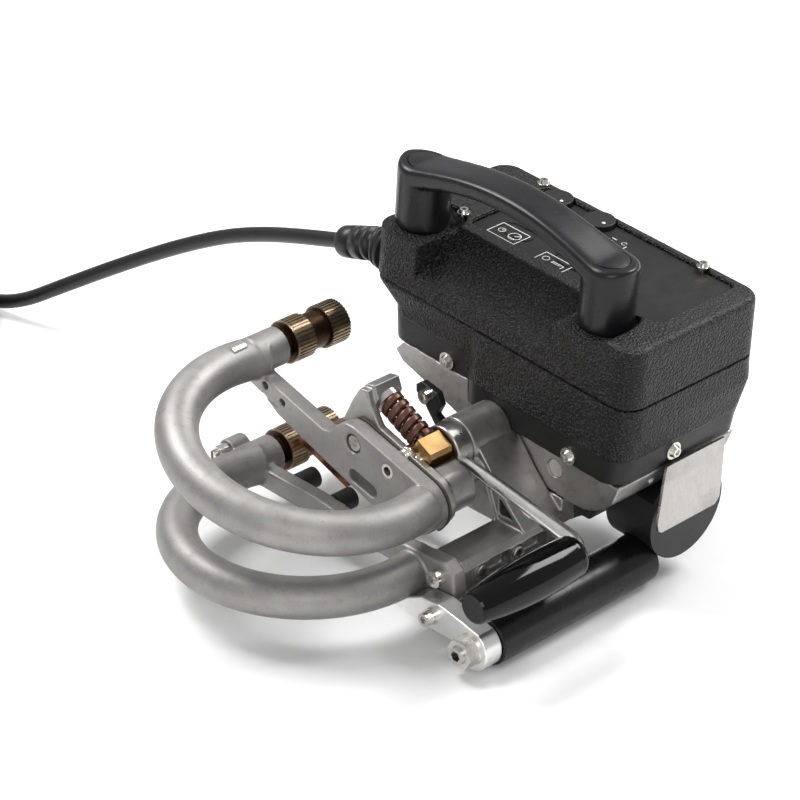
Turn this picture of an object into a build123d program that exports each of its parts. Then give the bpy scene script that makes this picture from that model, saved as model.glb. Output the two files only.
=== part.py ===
from build123d import *
import os
from math import sin, cos, tan, radians, degrees, pi, hypot

# Hand-guided hot-wedge overlap welder for plastic membranes, clamp open.
# Millimetres, +Z up, +X along the drive (length of the housing), +Y across it.
# Design coordinates below are shifted by (OX, OY, OZ) so that the finished
# object stands on z = 0 with the origin under the middle of its box.

os.makedirs("parts", exist_ok=True)

# ---------------------------------------------------------------- driving dimensions
OX, OY, OZ = -92.87, 69.8, 34.0

HP = 4.0                    # housing pitch, +X end lower, degrees
HX, HZ = 105.0, 47.5        # origin of the housing's tilted frame
HL0, HL1 = -95.5, 97.0      # housing length in its own frame
HY0, HY1 = -36.0, 67.5      # housing front and back
HH = 82.0                   # housing height
HPART = 46.5                # height of the line between the two shells
POST = (-78.5, 58.0)        # handle posts along the housing
POST_Y = -14.0
POST_R = 15.0
GRIP_TOP = 112.0
LEDGE = 76.5

UP = 13.5                   # upper arm pitch when open
PVX, PVZ = 122.0, 30.0      # upper arm pivot
ARM_R, ARM_T = 71.5, 11.8   # upper loop: centreline radius, tube radius
LOW_R, LOW_T = 70.5, 11.3   # lower loop
LOW_Z = -3.0
ROLL_R = 12.5               # knurled roller radius
DRX, DRZ = 110.0, 44.0      # clamp shaft axis
FTX, FTZ, FTR = 186.0, -20.0, 14.0   # front roller axis and radius
CORD_D = 9.0
GLY, GLZV = -18.0, 53.5     # cord gland on the left wall
DIAL = (-44.7, -13.1)        # the two dials along the panel
DIALY = 56.0


def W(x, y, z):
    return (x + OX, y + OY, z + OZ)


def pxy(z, x=0, y=0):
    return Plane(origin=W(x, y, z), x_dir=(1, 0, 0), z_dir=(0, 0, 1))


def pxz(y, x=0, z=0):
    # faces -Y; local x = X, local y = Z; a positive extrude goes to -Y
    return Plane(origin=W(x, y, z), x_dir=(1, 0, 0), z_dir=(0, -1, 0))


def pyz(x, y=0, z=0):
    return Plane(origin=W(x, y, z), x_dir=(0, 1, 0), z_dir=(1, 0, 0))


def tilt(px, pz, pitch):
    c, s = cos(radians(pitch)), sin(radians(pitch))

    def top(v, u=0, y=0):      # local x = along, local y = Y, normal up
        return Plane(origin=W(px + u * c + v * s, y, pz - u * s + v * c), x_dir=(c, 0, -s), z_dir=(s, 0, c))

    def front(y, u=0, v=0):    # local x = along, local y = up, normal -Y
        return Plane(origin=W(px + u * c + v * s, y, pz - u * s + v * c), x_dir=(c, 0, -s), z_dir=(0, -1, 0))

    def end(u, y=0, v=0):      # local x = Y, local y = up, normal along
        return Plane(origin=W(px + u * c + v * s, y, pz - u * s + v * c), x_dir=(0, 1, 0), z_dir=(c, 0, -s))

    def point(u, y, v):
        return W(px + u * c + v * s, y, pz - u * s + v * c)

    return top, front, end, point


h_top, h_front, h_end, h_pt = tilt(HX, HZ, HP)
u_top, u_front, u_end, u_pt = tilt(PVX, PVZ, UP)


def save(bp, label):
    bp.part.label = label
    export_step(bp.part, "parts/" + label + ".step")


def safe_fillet(bp, edges, r):
    # the largest of a few radii that the body accepts
    for k in (1.0, 0.7, 0.45, 0.25):
        try:
            fillet(edges, r * k)
            return
        except Exception:
            continue


# ================================================================ housing
# ---- lower shell: smooth band at its foot, deeper at the drive end
with BuildPart() as lower_housing_shell:
    with BuildSketch(h_top(43.5)):
        with Locations(((HL0 + HL1) / 2, (HY0 + 1 + HY1) / 2)):
            RectangleRounded(HL1 - HL0, HY1 - HY0 - 1, 13)
    extrude(amount=HPART - 43.5)
    with BuildSketch(h_top(43.5)):
        with Locations(((HL0 + HL1) / 2, (HY0 + 1 + HY1) / 2)):
            RectangleRounded(HL1 - HL0, HY1 - HY0 - 1, 13)
    with BuildSketch(h_top(31.5)):
        with Locations(((HL0 + 13 + HL1) / 2, (HY0 + 4 + HY1) / 2)):
            RectangleRounded(HL1 - HL0 - 13, HY1 - HY0 - 4, 11)
    loft()
    with BuildSketch(h_top(31.5)):
        with Locations(((HL0 + 13 + HL1) / 2, (HY0 + 4 + HY1) / 2)):
            RectangleRounded(HL1 - HL0 - 13, HY1 - HY0 - 4, 11)
    with BuildSketch(h_top(10.5)):
        with Locations(((HL0 + 14 + HL1 - 3) / 2, (HY0 + 5 + HY1 - 4) / 2)):
            RectangleRounded(HL1 - 3 - HL0 - 14, HY1 - HY0 - 9, 11)
    loft()
    with BuildSketch(h_top(0.0)):
        with Locations(((-22 + HL1 - 3) / 2, (HY0 + HY1 - 5) / 2)):
            RectangleRounded(HL1 - 3 + 22, HY1 - HY0 - 5, 13)
    with BuildSketch(h_top(HPART)):
        with Locations(((-22 + HL1) / 2, (HY0 + HY1) / 2)):
            RectangleRounded(HL1 + 22, HY1 - HY0, 13)
    loft()
    with BuildSketch(h_top(4.5)):
        with Locations(((HL0 + 14 + HL1 - 3) / 2, (HY0 + HY1) / 2)):
            RectangleRounded(HL1 - HL0 - 32, HY1 - HY0 - 28, 9)
    extrude(amount=HPART, mode=Mode.SUBTRACT)
    with BuildSketch(h_top(-1.0)):
        with Locations(((-13 + HL1 - 6) / 2, (HY0 + HY1) / 2)):
            RectangleRounded(HL1 - 6 + 13 - 26, HY1 - HY0 - 34, 8)
    extrude(amount=10, mode=Mode.SUBTRACT)
    # bore for the cord gland in the left wall
    with BuildSketch(h_end(HL0 - 2, GLY, GLZV)):
        Circle(9.95)
    extrude(amount=30, mode=Mode.SUBTRACT)
save(lower_housing_shell, "lower_housing_shell")

# ---- upper cover: rounded lid, saddle for the hand, wells round the posts, panel window
SAD0, SAD1 = -97.5, 76.0
with BuildPart() as upper_housing_cover:
    with BuildSketch(h_top(HPART + 0.6)):
        with Locations(((HL0 + HL1) / 2, (HY0 + HY1) / 2)):
            RectangleRounded(HL1 - HL0, HY1 - HY0, 13)
    extrude(amount=HH - HPART - 0.6, taper=1.2)
    safe_fillet(upper_housing_cover, upper_housing_cover.faces().sort_by(Axis((0, 0, 0), (sin(radians(HP)), 0, cos(radians(HP)))))[-1].edges(), 3.6)
    # saddle: concave slope from the panel edge down to the front ridge
    with BuildSketch(h_end(-60.0)):
        with BuildLine():
            l1 = Polyline((HY0 - 3, 56.5), (HY0 - 3, HH + 2), (-9.0, HH + 2), (-9.0, HH - 0.5))
            ThreePointArc((-9.0, HH - 0.5), (-18.0, 66.5), (HY0 + 1.5, 57.5))
            Line((HY0 + 1.5, 57.5), (HY0 - 3, 56.5))
        make_face()
    extrude(amount=100.0, mode=Mode.SUBTRACT)
    # lower ledges that carry the posts
    with BuildSketch(h_top(LEDGE)):
        with Locations(((SAD0 - 60) / 2 + 1, -24.0)):
            RectangleRounded(-60 - SAD0 + 6, 60, 14)
        with Locations((POST[0], POST_Y)):
            Circle(17.6)
        with Locations(((40 + SAD1) / 2 - 1, -24.0)):
            RectangleRounded(SAD1 - 40 + 2, 44, 14)
        with Locations((POST[1], POST_Y)):
            Circle(17.6)
    extrude(amount=20, mode=Mode.SUBTRACT)
    # panel window
    with BuildSketch(h_top(HH - 5.0)):
        with Locations((12.0, 30.5)):
            RectangleRounded(138.0, 62.0, 5)
        with Locations((DIAL[0], DIALY), (DIAL[1], DIALY)):
            Circle(9.7)
    extrude(amount=10, mode=Mode.SUBTRACT)
    # inside
    with BuildSketch(h_top(HPART - 1)):
        with Locations(((HL0 + HL1) / 2, (HY0 + HY1) / 2)):
            RectangleRounded(HL1 - HL0 - 9, HY1 - HY0 - 9, 9)
    extrude(amount=11.0, mode=Mode.SUBTRACT)
    with BuildSketch(h_top(HPART + 6)):
        with Locations(((HL0 + HL1) / 2, 28.0)):
            RectangleRounded(HL1 - HL0 - 12, 58.0, 6)
    extrude(amount=22.0, mode=Mode.SUBTRACT)
    with BuildSketch(h_end(HL0 - 2, GLY, GLZV)):
        Circle(9.95)
    extrude(amount=12, mode=Mode.SUBTRACT)
    # dial shafts pass the panel floor; holes for the lid screws
    with Locations(h_top(HH + 1)):
        with Locations((DIAL[0], DIALY), (DIAL[1], DIALY)):
            Hole(4.2, 24)
save(upper_housing_cover, "upper_housing_cover")

# ---- control panel let into the window
with BuildPart() as control_panel:
    with BuildSketch(h_top(HH - 5.0)):
        with Locations((12.0, 30.5)):
            RectangleRounded(136.6, 60.6, 4.4)
    extrude(amount=2.6)
    with BuildSketch(h_top(HH - 6.0)):
        with Locations((DIAL[0], DIALY), (DIAL[1], DIALY)):
            Circle(9.7)
    extrude(amount=10, mode=Mode.SUBTRACT)
    # two shallow framed fields, generic
    with BuildSketch(h_top(HH - 2.8)):
        with Locations((-34.0, 14.0), (8.0, 14.0)):
            SlotOverall(24, 14)
            SlotOverall(21, 11, mode=Mode.SUBTRACT)
    extrude(amount=2, mode=Mode.SUBTRACT)
save(control_panel, "control_panel")


def dial(u):
    with BuildPart() as d:
        with BuildSketch(h_top(HH - 4.5, u, DIALY)):
            Circle(9.1)
        extrude(amount=5.0)
        fillet(d.edges().filter_by(GeomType.CIRCLE).sort_by(Axis.Z)[-1], 0.6)
        with BuildSketch(h_top(HH - 22.0, u, DIALY)):
            Circle(3.0)
        extrude(amount=18.0)
        with BuildSketch(h_top(HH - 0.1, u, DIALY)):
            with Locations((4.5, -1.5)):
                Circle(1.1)
        extrude(amount=1.0, mode=Mode.SUBTRACT)
    return d


temperature_dial = dial(DIAL[0])
save(temperature_dial, "temperature_dial")
speed_dial = dial(DIAL[1])
save(speed_dial, "speed_dial")

# ---- carrying handle: two round posts and an arched bar
with BuildPart() as carry_handle:
    m = (POST[0] + POST[1]) / 2
    span = (POST[1] - POST[0]) / 2
    for k in range(7):
        t = -1 + k / 3.0
        w = 24.0 + 5.0 * abs(t) ** 2.2
        h = 10.5 + 1.5 * abs(t)
        vtop = GRIP_TOP - 0.2 + 12.8 * (1 - t * t)
        with BuildSketch(h_end(m + span * t, POST_Y, vtop - h / 2)):
            RectangleRounded(w, h, 4.0)
    loft()
    with BuildSketch(h_top(LEDGE + 0.05)):
        with Locations((POST[0], POST_Y), (POST[1], POST_Y)):
            Circle(POST_R)
    extrude(amount=GRIP_TOP - LEDGE - 0.05)
    for a in POST:
        with BuildSketch(h_top(GRIP_TOP - 2.2, a, POST_Y)):
            Circle(10.6)
        extrude(amount=14.0, mode=Mode.SUBTRACT)
        with BuildSketch(h_top(GRIP_TOP - 9.0, a, POST_Y)):
            Circle(6.0)
        extrude(amount=10.0, mode=Mode.SUBTRACT)
save(carry_handle, "carry_handle")

with BuildPart() as handle_caps:
    for a in POST:
        with BuildSketch(h_top(GRIP_TOP - 1.0, a, POST_Y)):
            Circle(10.2)
        extrude(amount=3.0)
    for e in handle_caps.edges().filter_by(GeomType.CIRCLE).group_by(Axis.Z)[-1:]:
        safe_fillet(handle_caps, e, 0.8)
save(handle_caps, "handle_caps")

with BuildPart() as handle_bolts:
    for a in POST:
        with BuildSketch(h_top(GRIP_TOP - 9.0, a, POST_Y)):
            Circle(5.6)
            RegularPolygon(2.6, 6, mode=Mode.SUBTRACT)
        extrude(amount=5.0)
        with BuildSketch(h_top(GRIP_TOP - 9.0, a, POST_Y)):
            Circle(2.9)
        extrude(amount=-4.0)
save(handle_bolts, "handle_bolts")


def button_head(pl, d_flange, d_head, h, socket):
    with BuildPart() as b:
        with BuildSketch(pl):
            Circle(d_flange / 2)
        extrude(amount=0.9)
        with BuildSketch(pl.offset(0.9)):
            Circle(d_head / 2)
        extrude(amount=h, taper=22)
        with BuildSketch(pl.offset(0.9 + h - 1.6)):
            RegularPolygon(socket, 6)
        extrude(amount=3, mode=Mode.SUBTRACT)
    return b.part


# flanged button-head screws round the shells, and three smaller ones in the lid
with BuildPart() as housing_screws:
    for (u, v, y) in ((-36.0, 15.4, HY0 + 4.6), (60.0, 4.6, HY0 + 0.3)):
        add(button_head(h_front(y, u, v), 10.2, 7.4, 2.4, 1.8))
    for (y, v) in ((7.0, 8.0),):
        add(button_head(h_end(HL1 - 2.6, y, v), 10.2, 7.4, 2.4, 1.8))
    for (u, v, y) in ((-60.0, 17.0, HY1 - 3.4), (62.0, 8.0, HY1 - 4.3)):
        pl = Plane(origin=h_pt(u, y, v), x_dir=(-cos(radians(HP)), 0, sin(radians(HP))), z_dir=(0, 1, 0))
        add(button_head(pl, 10.2, 7.4, 2.4, 1.8))
    for (u, y) in ((-64.0, 3.0), (-60.5, 61.4), (57.0, 61.4)):
        add(button_head(h_top(HH, u, y), 7.0, 6.2, 2.0, 1.5))
        with BuildSketch(h_top(HH, u, y)):
            Circle(1.6)
        extrude(amount=-6.0)
save(housing_screws, "housing_screws")

with BuildPart() as control_board:
    with BuildSketch(h_top(HPART + 10.0)):
        with Locations((5.0, 28.0)):
            Rectangle(130, 48)
    extrude(amount=1.6)
    with BuildSketch(h_top(HPART + 11.6)):
        with Locations((DIAL[0], DIALY), (DIAL[1], DIALY)):
            Rectangle(12, 12, mode=Mode.ADD)
            Circle(3.4, mode=Mode.SUBTRACT)
    extrude(amount=4.0)
    with Locations(h_top(HPART + 13)):
        with Locations((DIAL[0], DIALY), (DIAL[1], DIALY)):
            Hole(3.4, 8)
    with BuildSketch(h_top(HPART + 11.6)):
        with Locations((40.0, 24.0)):
            Rectangle(28, 20)
        with Locations((-40.0, 18.0)):
            Rectangle(16, 16)
    extrude(amount=6.0)
save(control_board, "control_board")

# ================================================================ base casting under the housing
BY0, BY1 = -32.0, 58.0
with BuildPart() as base_casting:
    with BuildSketch(pxz(BY0 + 90.0)):
        with BuildLine():
            Polyline((30, 57.5), (36, 51.5), (62, 42.5), (82, 34.5), (96, 29.0), (128, 21.0), (160, 17.5))
            ThreePointArc((160, 17.5), (181, 19.5), (194.0, 30.0))
            Polyline((194.0, 30.0), (198.0, 40.3), (96.0, 47.6), (89.0, 60.3), (37.0, 64.0), (30, 57.5))
        make_face()
    extrude(amount=90.0)
    safe_fillet(base_casting, base_casting.edges().filter_by(Axis.Z), 8.0)
    # gear space, open to the housing above
    with BuildSketch(pxz(BY1 - 6)):
        with BuildLine():
            Polyline((100, 36.0), (128, 27.0), (160, 23.5), (178, 25.5), (190.0, 44.0), (100.0, 50.0), (100, 36.0))
        make_face()
    extrude(amount=78.0, mode=Mode.SUBTRACT)
    # pocket in the drive end, seen below the housing
    with BuildSketch(pyz(199.0)):
        with BuildLine():
            Polyline((-18.0, 22.5), (-18.0, 27.5), (-2.0, 35.5))
            ThreePointArc((-2.0, 35.5), (-3.0, 27.0), (-10.0, 21.0))
            Line((-10.0, 21.0), (-18.0, 22.5))
        make_face()
    extrude(amount=-7.0, mode=Mode.SUBTRACT)
    # bearing bore for the drive shaft
    with BuildSketch(pxz(BY0 - 2, 152.0, 33.0)):
        Circle(5.06)
    extrude(amount=-40.0, mode=Mode.SUBTRACT)
save(base_casting, "base_casting")

# ---- gearbox under the base, dark
with BuildPart() as gearbox_housing:
    with BuildSketch(pxz(50.0)):
        with BuildLine():
            Polyline((118, 22.8), (124, 8.0), (138, -3.0), (150, -6.0), (158, 0.0), (164, 0.0), (167, 6.0), (167, 16.9), (160, 16.9), (128, 20.4), (118, 22.8))
        make_face()
    extrude(amount=66.0)
    safe_fillet(gearbox_housing, gearbox_housing.edges().filter_by(Axis.Y), 2.0)
save(gearbox_housing, "gearbox_housing")

# ---- motor: round can along X, its end disc at the drive end
MX0, MX1, MY, MZ, MR = 168.0, 200.0, 19.8, 6.6, 27.8
m_top, m_front, m_end, m_pt = tilt(MX1, MZ, HP)
with BuildPart() as drive_motor:
    with BuildSketch(m_end(-32.0, MY)):
        Circle(MR)
        with Locations((0, 33.0)):
            Rectangle(80, 40, mode=Mode.SUBTRACT)
    extrude(amount=29.5)
    with BuildSketch(m_end(-56.0, MY)):
        Circle(8.0)
    extrude(amount=24.2)
    with BuildSketch(m_end(-57.0, MY)):
        Circle(5.0)
    extrude(amount=24.0, mode=Mode.SUBTRACT)
    # relief for the front roller and seat for the end of its axle
    with BuildSketch(pxz(2.0, FTX, FTZ)):
        Circle(FTR + 1.0)
    extrude(amount=40.0, mode=Mode.SUBTRACT)
    with BuildSketch(pxz(9.7, FTX, FTZ)):
        Circle(5.0)
    extrude(amount=10.0, mode=Mode.SUBTRACT)
save(drive_motor, "drive_motor")

with BuildPart() as motor_end_cover:
    with BuildSketch(m_end(-2.4, MY)):
        Circle(MR + 0.2)
        with Locations((0, 45.0)):
            Rectangle(80, 40, mode=Mode.SUBTRACT)
    extrude(amount=2.8)
    safe_fillet(motor_end_cover, motor_end_cover.faces().sort_by(Axis.X)[-1].edges(), 1.2)
    with BuildSketch(pxz(1.6, FTX, FTZ)):
        Circle(FTR + 0.7)
    extrude(amount=20.0, mode=Mode.SUBTRACT)
save(motor_end_cover, "motor_end_cover")

# ---- bent sheet cover over the motor end
with BuildPart() as motor_sheet_cover:
    with BuildSketch(pxz(50.0)):
        with BuildLine():
            Polyline((200.9, 42.5), (202.4, 42.5), (202.4, 32.5), (207.6, 8.0), (206.1, 7.7), (200.9, 32.2), (200.9, 42.5))
        make_face()
    extrude(amount=64.0)
    with BuildSketch(pyz(195.0)):
        with BuildLine():
            Polyline((1.0, 46.0), (46.0, 46.0), (45.5, 32.5), (41.0, 18.0), (38.5, 11.0), (33.5, 7.6), (-7.0, 7.6), (-10.0, 9.5), (-10.0, 13.0), (-2.0, 32.0), (1.0, 46.0))
        make_face()
    extrude(amount=20.0, mode=Mode.INTERSECT)
save(motor_sheet_cover, "motor_sheet_cover")

# ================================================================ clamp frame: drum, ribs, cross beam
with BuildPart() as clamp_frame:
    with BuildSketch(pxz(-32.2, DRX, DRZ)):
        Circle(14.2)
    extrude(amount=31.6)
    # web that joins the drum to the beam
    with BuildSketch(pxz(-32.2)):
        with BuildLine():
            Polyline((100, 33.0), (124, 33.0), (124.0, 46.0), (140, 27.0), (152, 15.0), (160.0, 8.0), (138.0, 8.0), (126, 12.0), (104, 22.0), (100, 33.0))
        make_face()
    extrude(amount=29.0)
    # triangular pockets between the ribs
    with BuildSketch(pxz(-32.2 - 3.5)):
        with BuildLine():
            Polyline((127.0, 36.5), (137.0, 25.0), (127.0, 25.0), (127.0, 36.5))
        make_face()
        with BuildLine():
            Polyline((140.0, 22.5), (151.0, 12.0), (140.0, 12.0), (140.0, 22.5))
        make_face()
    extrude(amount=11.0, mode=Mode.SUBTRACT)
    with BuildSketch(pxz(-32.2 - 18.0)):
        with BuildLine():
            Polyline((127.0, 36.5), (137.0, 25.0), (127.0, 25.0), (127.0, 36.5))
        make_face()
        with BuildLine():
            Polyline((140.0, 22.5), (151.0, 12.0), (140.0, 12.0), (140.0, 22.5))
        make_face()
    extrude(amount=20.0, mode=Mode.SUBTRACT)
    # beam along Y
    with BuildSketch(pxz(-32.2)):
        with BuildLine():
            Polyline((138.0, -13.0), (138.0, 8.8), (156.5, 8.8), (160.0, 5.0), (160.0, -13.0), (138.0, -13.0))
        make_face()
    extrude(amount=74.8)
    # shelf that ties the beam to the base casting
    with BuildSketch(pxz(-22.0)):
        with BuildLine():
            Polyline((124, 17.0), (124, 8.0), (138, 1.0), (158.0, 1.0), (158.0, 16.8), (142, 18.4), (124, 17.0))
        make_face()
    extrude(amount=10.4)
    # pockets in the beam's front face, a tapped boss between them
    with BuildSketch(pyz(161.0)):
        with Locations((-80.0, -2.0), (-53.0, -2.0)):
            RectangleRounded(17.0, 12.0, 3)
        with Locations((-93.3, -0.5), (-66.6, -0.5)):
            Circle(5.0, mode=Mode.SUBTRACT)
    extrude(amount=-9.0, mode=Mode.SUBTRACT)
    with BuildSketch(pyz(161.0)):
        with Locations((-93.3, -0.5), (-66.6, -0.5)):
            Circle(1.65)
    extrude(amount=-15.0, mode=Mode.SUBTRACT)
    with BuildSketch(pyz(161.0)):
        with Locations((-93.3, -0.5), (-66.6, -0.5)):
            Circle(2.6)
    extrude(amount=-6.0, mode=Mode.SUBTRACT)
    # lug that carries the upper arm's pivot pin
    with BuildSketch(pxz(-50.0)):
        with BuildLine():
            Polyline((112.5, 30.0), (116.0, 8.0), (140.0, 8.0), (140.0, 8.5), (131.5, 30.0))
            ThreePointArc((131.5, 30.0), (122.0, 39.5), (112.5, 30.0))
        make_face()
    extrude(amount=13.5)
    # bores: clamp shaft and pivot pin
    with BuildSketch(pxz(-36.6, DRX, DRZ)):
        Circle(8.06)
    extrude(amount=30.0, mode=Mode.SUBTRACT)
    with BuildSketch(pxz(-50.4, PVX, PVZ)):
        Circle(4.5)
    extrude(amount=14.0, mode=Mode.SUBTRACT)
save(clamp_frame, "clamp_frame")

with BuildPart() as beam_sleeves:
    with BuildSketch(pyz(155.0)):
        with Locations((-93.3, -0.5), (-66.6, -0.5)):
            Circle(3.9)
            Circle(2.2, mode=Mode.SUBTRACT)
    extrude(amount=6.2)
    safe_fillet(beam_sleeves, beam_sleeves.faces().sort_by(Axis.X)[-1].edges(), 0.5)
save(beam_sleeves, "beam_sleeves")

# ================================================================ lower arm
LCX, LCY = 61.5, -125.3
LHX, LHZ = -10.5, -4.0      # lower roller axis
with BuildPart() as lower_arm:
    with BuildLine(pxy(LOW_Z)):
        lp = CenterArc((LCX, LCY), LOW_R, 12.5, -213.0)
    with BuildSketch(Plane(origin=lp @ 0, z_dir=lp % 0)):
        Circle(LOW_T)
    sweep(path=lp)
    # roller head at the free end
    with BuildSketch(pxz(-88.0, LHX, LHZ)):
        Circle(11.2)
    extrude(amount=24.0)
    with BuildSketch(pxz(-100.0, LHX - 10, LHZ + 6.6)):
        Circle(7.0)
    extrude(amount=12.5)
    # chord bar
    with BuildSketch(pxz(-97.0)):
        with BuildLine():
            Polyline((-12.0, -1.5), (45.0, -1.5), (62.0, -3.0), (137.8, -3.0), (137.8, -13.5), (-12.0, -13.5), (-12.0, -1.5))
        make_face()
    extrude(amount=9.0)
    # end block that bolts to the beam
    with BuildSketch(pxz(-107.2)):
        with BuildLine():
            Polyline((116.0, -13.4), (116.0, 5.0), (124.0, 9.6), (155.0, 12.0), (162.0, 7.0), (163.0, -8.0), (158.5, -13.4), (138.0, -13.8), (116.0, -13.4))
        make_face()
    extrude(amount=8.8)
    # bores: roller shaft, adjuster, block screw
    with BuildSketch(pxz(-80.0, LHX, LHZ)):
        Circle(5.06)
    extrude(amount=28.0, mode=Mode.SUBTRACT)
    with BuildSketch(pxz(-105.0, LHX - 10, LHZ + 6.6)):
        Circle(5.5)
    extrude(amount=9.0, mode=Mode.SUBTRACT)
    # seats of the guide roller pins on the chord bar's back
    with BuildSketch(pxz(-90.0)):
        with Locations((17.0, -10.0), (47.0, -10.0)):
            Circle(2.0)
    extrude(amount=12.0, mode=Mode.SUBTRACT)
save(lower_arm, "lower_arm")


def cap_screw(pl, d, h, hexr):
    with BuildPart() as b:
        with BuildSketch(pl):
            Circle(d / 2)
        extrude(amount=h)
        with BuildSketch(pl.offset(h - h * 0.55)):
            RegularPolygon(hexr, 6)
        extrude(amount=h, mode=Mode.SUBTRACT)
    return b.part


# socket screws with their washer: arm block and roller bracket
with BuildPart() as lower_arm_screws:
    add(cap_screw(pxz(-116.05, 152.0, 3.0), 9.4, 5.2, 2.6))
    with BuildSketch(pxz(-128.02, 159.0, -12.5)):
        Circle(4.6)
        Circle(2.6, mode=Mode.SUBTRACT)
    extrude(amount=1.6)
    add(cap_screw(pxz(-129.62, 159.0, -12.5), 7.6, 5.0, 2.2))
    with BuildSketch(pxz(-128.0, 159.0, -12.5)):
        Circle(2.5)
    extrude(amount=2.0)
save(lower_arm_screws, "lower_arm_screws")

with BuildPart() as lower_adjuster:
    with BuildSketch(pxz(-105.05, LHX - 10, LHZ + 6.6)):
        Circle(5.45)
    extrude(amount=14.2)
    with BuildSketch(pxz(-119.25, LHX - 10, LHZ + 6.6)):
        Circle(4.2)
    extrude(amount=4.0)
    with BuildSketch(pxz(-120.8, LHX - 10, LHZ + 6.6)):
        Rectangle(1.6, 12)
    extrude(amount=5.0, mode=Mode.SUBTRACT)
    safe_fillet(lower_adjuster, lower_adjuster.faces().sort_by(Axis.Y)[0].edges(), 0.5)
save(lower_adjuster, "lower_adjuster")

# ---- bracket that carries the front roller
with BuildPart() as end_bracket:
    with BuildSketch(pxz(-117.0)):
        with BuildLine():
            Polyline((128.0, -14.5), (140.0, -10.0), (150.0, -5.0), (163.0, -4.0), (178.0, -6.4), (FTX + 6, -9.2))
            ThreePointArc((FTX + 6, -9.2), (FTX + 12.4, FTZ), (FTX + 4, FTZ - 11.8))
            ThreePointArc((FTX + 4, FTZ - 11.8), (FTX - 7.5, FTZ - 10.0), (FTX - 12.4, FTZ - 1.0))
            Polyline((FTX - 12.4, FTZ - 1.0), (163.0, -21.5), (130.0, -19.0), (128.0, -14.5))
        make_face()
    extrude(amount=11.0)
    # foot under the beam end
    with BuildSketch(pxz(-92.0)):
        with BuildLine():
            Polyline((138.0, -14.7), (166.0, -14.7), (166.0, -21.0), (138.0, -19.6), (138.0, -14.7))
        make_face()
    extrude(amount=25.2)
    with BuildSketch(pxz(-90, FTX, FTZ)):
        Circle(5.0)
    extrude(amount=60, mode=Mode.SUBTRACT)
    safe_fillet(end_bracket, end_bracket.faces().sort_by(Axis.Y)[0].edges(), 0.8)
save(end_bracket, "end_bracket")

with BuildPart() as roller_axle:
    with BuildSketch(pxz(9.6, FTX, FTZ)):
        Circle(4.95)
    extrude(amount=147.6)
    with BuildSketch(pxz(-131.0, FTX, FTZ)):
        RegularPolygon(3.1, 6)
    extrude(amount=10, mode=Mode.SUBTRACT)
save(roller_axle, "roller_axle")

with BuildPart() as axle_nut:
    with BuildSketch(pxz(-128.05, FTX, FTZ)):
        Circle(8.8)
        Circle(5.0, mode=Mode.SUBTRACT)
    extrude(amount=1.2)
    with BuildSketch(pxz(-129.25, FTX, FTZ)):
        RegularPolygon(8.7, 6)
        Circle(5.0, mode=Mode.SUBTRACT)
    extrude(amount=6.6)
save(axle_nut, "axle_nut")

with BuildPart() as front_roller:
    with BuildSketch(pxz(0.8, FTX, FTZ)):
        Circle(FTR)
        Circle(FTR - 3.0, mode=Mode.SUBTRACT)
    extrude(amount=117.2)
    fillet(front_roller.edges().filter_by(GeomType.CIRCLE).filter_by(lambda e: e.radius > FTR - 0.5), 1.0)
save(front_roller, "front_roller")

with BuildPart() as front_roller_bushes:
    for y0, ln in ((1.2, 16.0), (-100.0, 16.7)):
        with BuildSketch(pxz(y0, FTX, FTZ)):
            Circle(FTR - 3.0)
            Circle(5.0, mode=Mode.SUBTRACT)
        extrude(amount=ln)
save(front_roller_bushes, "front_roller_bushes")

# ================================================================ upper arm
UCX, UCY, UW = -62.3, -123.0, 4.0
RHU, RHW = -131.9, 5.4      # upper roller axis in the arm's frame
with BuildPart() as upper_arm:
    with BuildLine(u_top(UW)):
        up = CenterArc((UCX, UCY), ARM_R, 13.0, -213.0)
    with BuildSketch(Plane(origin=up @ 0, z_dir=up % 0)):
        Circle(ARM_T)
    sweep(path=up)
    # roller head
    with BuildSketch(u_front(-87.0, RHU, RHW)):
        Circle(11.0)
    extrude(amount=20.0)
    # chord bar and side plate in one
    with BuildSketch(u_front(-97.4)):
        with BuildLine():
            Polyline((-130.0, 0.4), (-71.0, -1.6), (-65.5, 1.0), (-61.5, 8.6), (-56.0, 13.6), (-50.0, 15.0), (4.0, 13.4))
            ThreePointArc((4.0, 13.4), (17.5, 2.5), (12.0, -13.0))
            Polyline((12.0, -13.0), (4.0, -22.0), (-4.0, -23.5), (-30.0, -21.5), (-60.0, -19.5), (-104.0, -15.4), (-118.0, -10.6), (-130.0, -9.4), (-130.0, 0.4))
        make_face()
    extrude(amount=9.6)
    # window through the bar
    with BuildSketch(u_front(-90.0)):
        with Locations((-36.0, -13.6)):
            SlotOverall(22.0, 7.8)
    extrude(amount=30.0, mode=Mode.SUBTRACT)
    # cross holes and the shallow engraved field
    with BuildSketch(u_front(-90.0)):
        with Locations((-117.5, -4.2), (-102.9, -6.1)):
            Circle(2.3)
    extrude(amount=30.0, mode=Mode.SUBTRACT)
    with BuildSketch(u_front(-106.4)):
        with Locations((-111.0, -9.4)):
            SlotOverall(15.0, 4.6)
    extrude(amount=3.0, mode=Mode.SUBTRACT)
    # recesses of the plate screws, hole of the insert
    with BuildSketch(u_front(-103.0)):
        with Locations((-48.0, 5.2), (6.2, 4.4)):
            Circle(5.6)
    extrude(amount=12.0, mode=Mode.SUBTRACT)
    with BuildSketch(u_front(-97.0)):
        with Locations((-48.0, 5.2), (6.2, 4.4)):
            Circle(2.6)
        with Locations((-21.3, 6.0)):
            Circle(4.2)
    extrude(amount=12.0, mode=Mode.SUBTRACT)
    # bores: roller shaft, set screw
    with BuildSketch(u_front(-80.0, RHU, RHW)):
        Circle(5.06)
    extrude(amount=24.0, mode=Mode.SUBTRACT)
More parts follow.
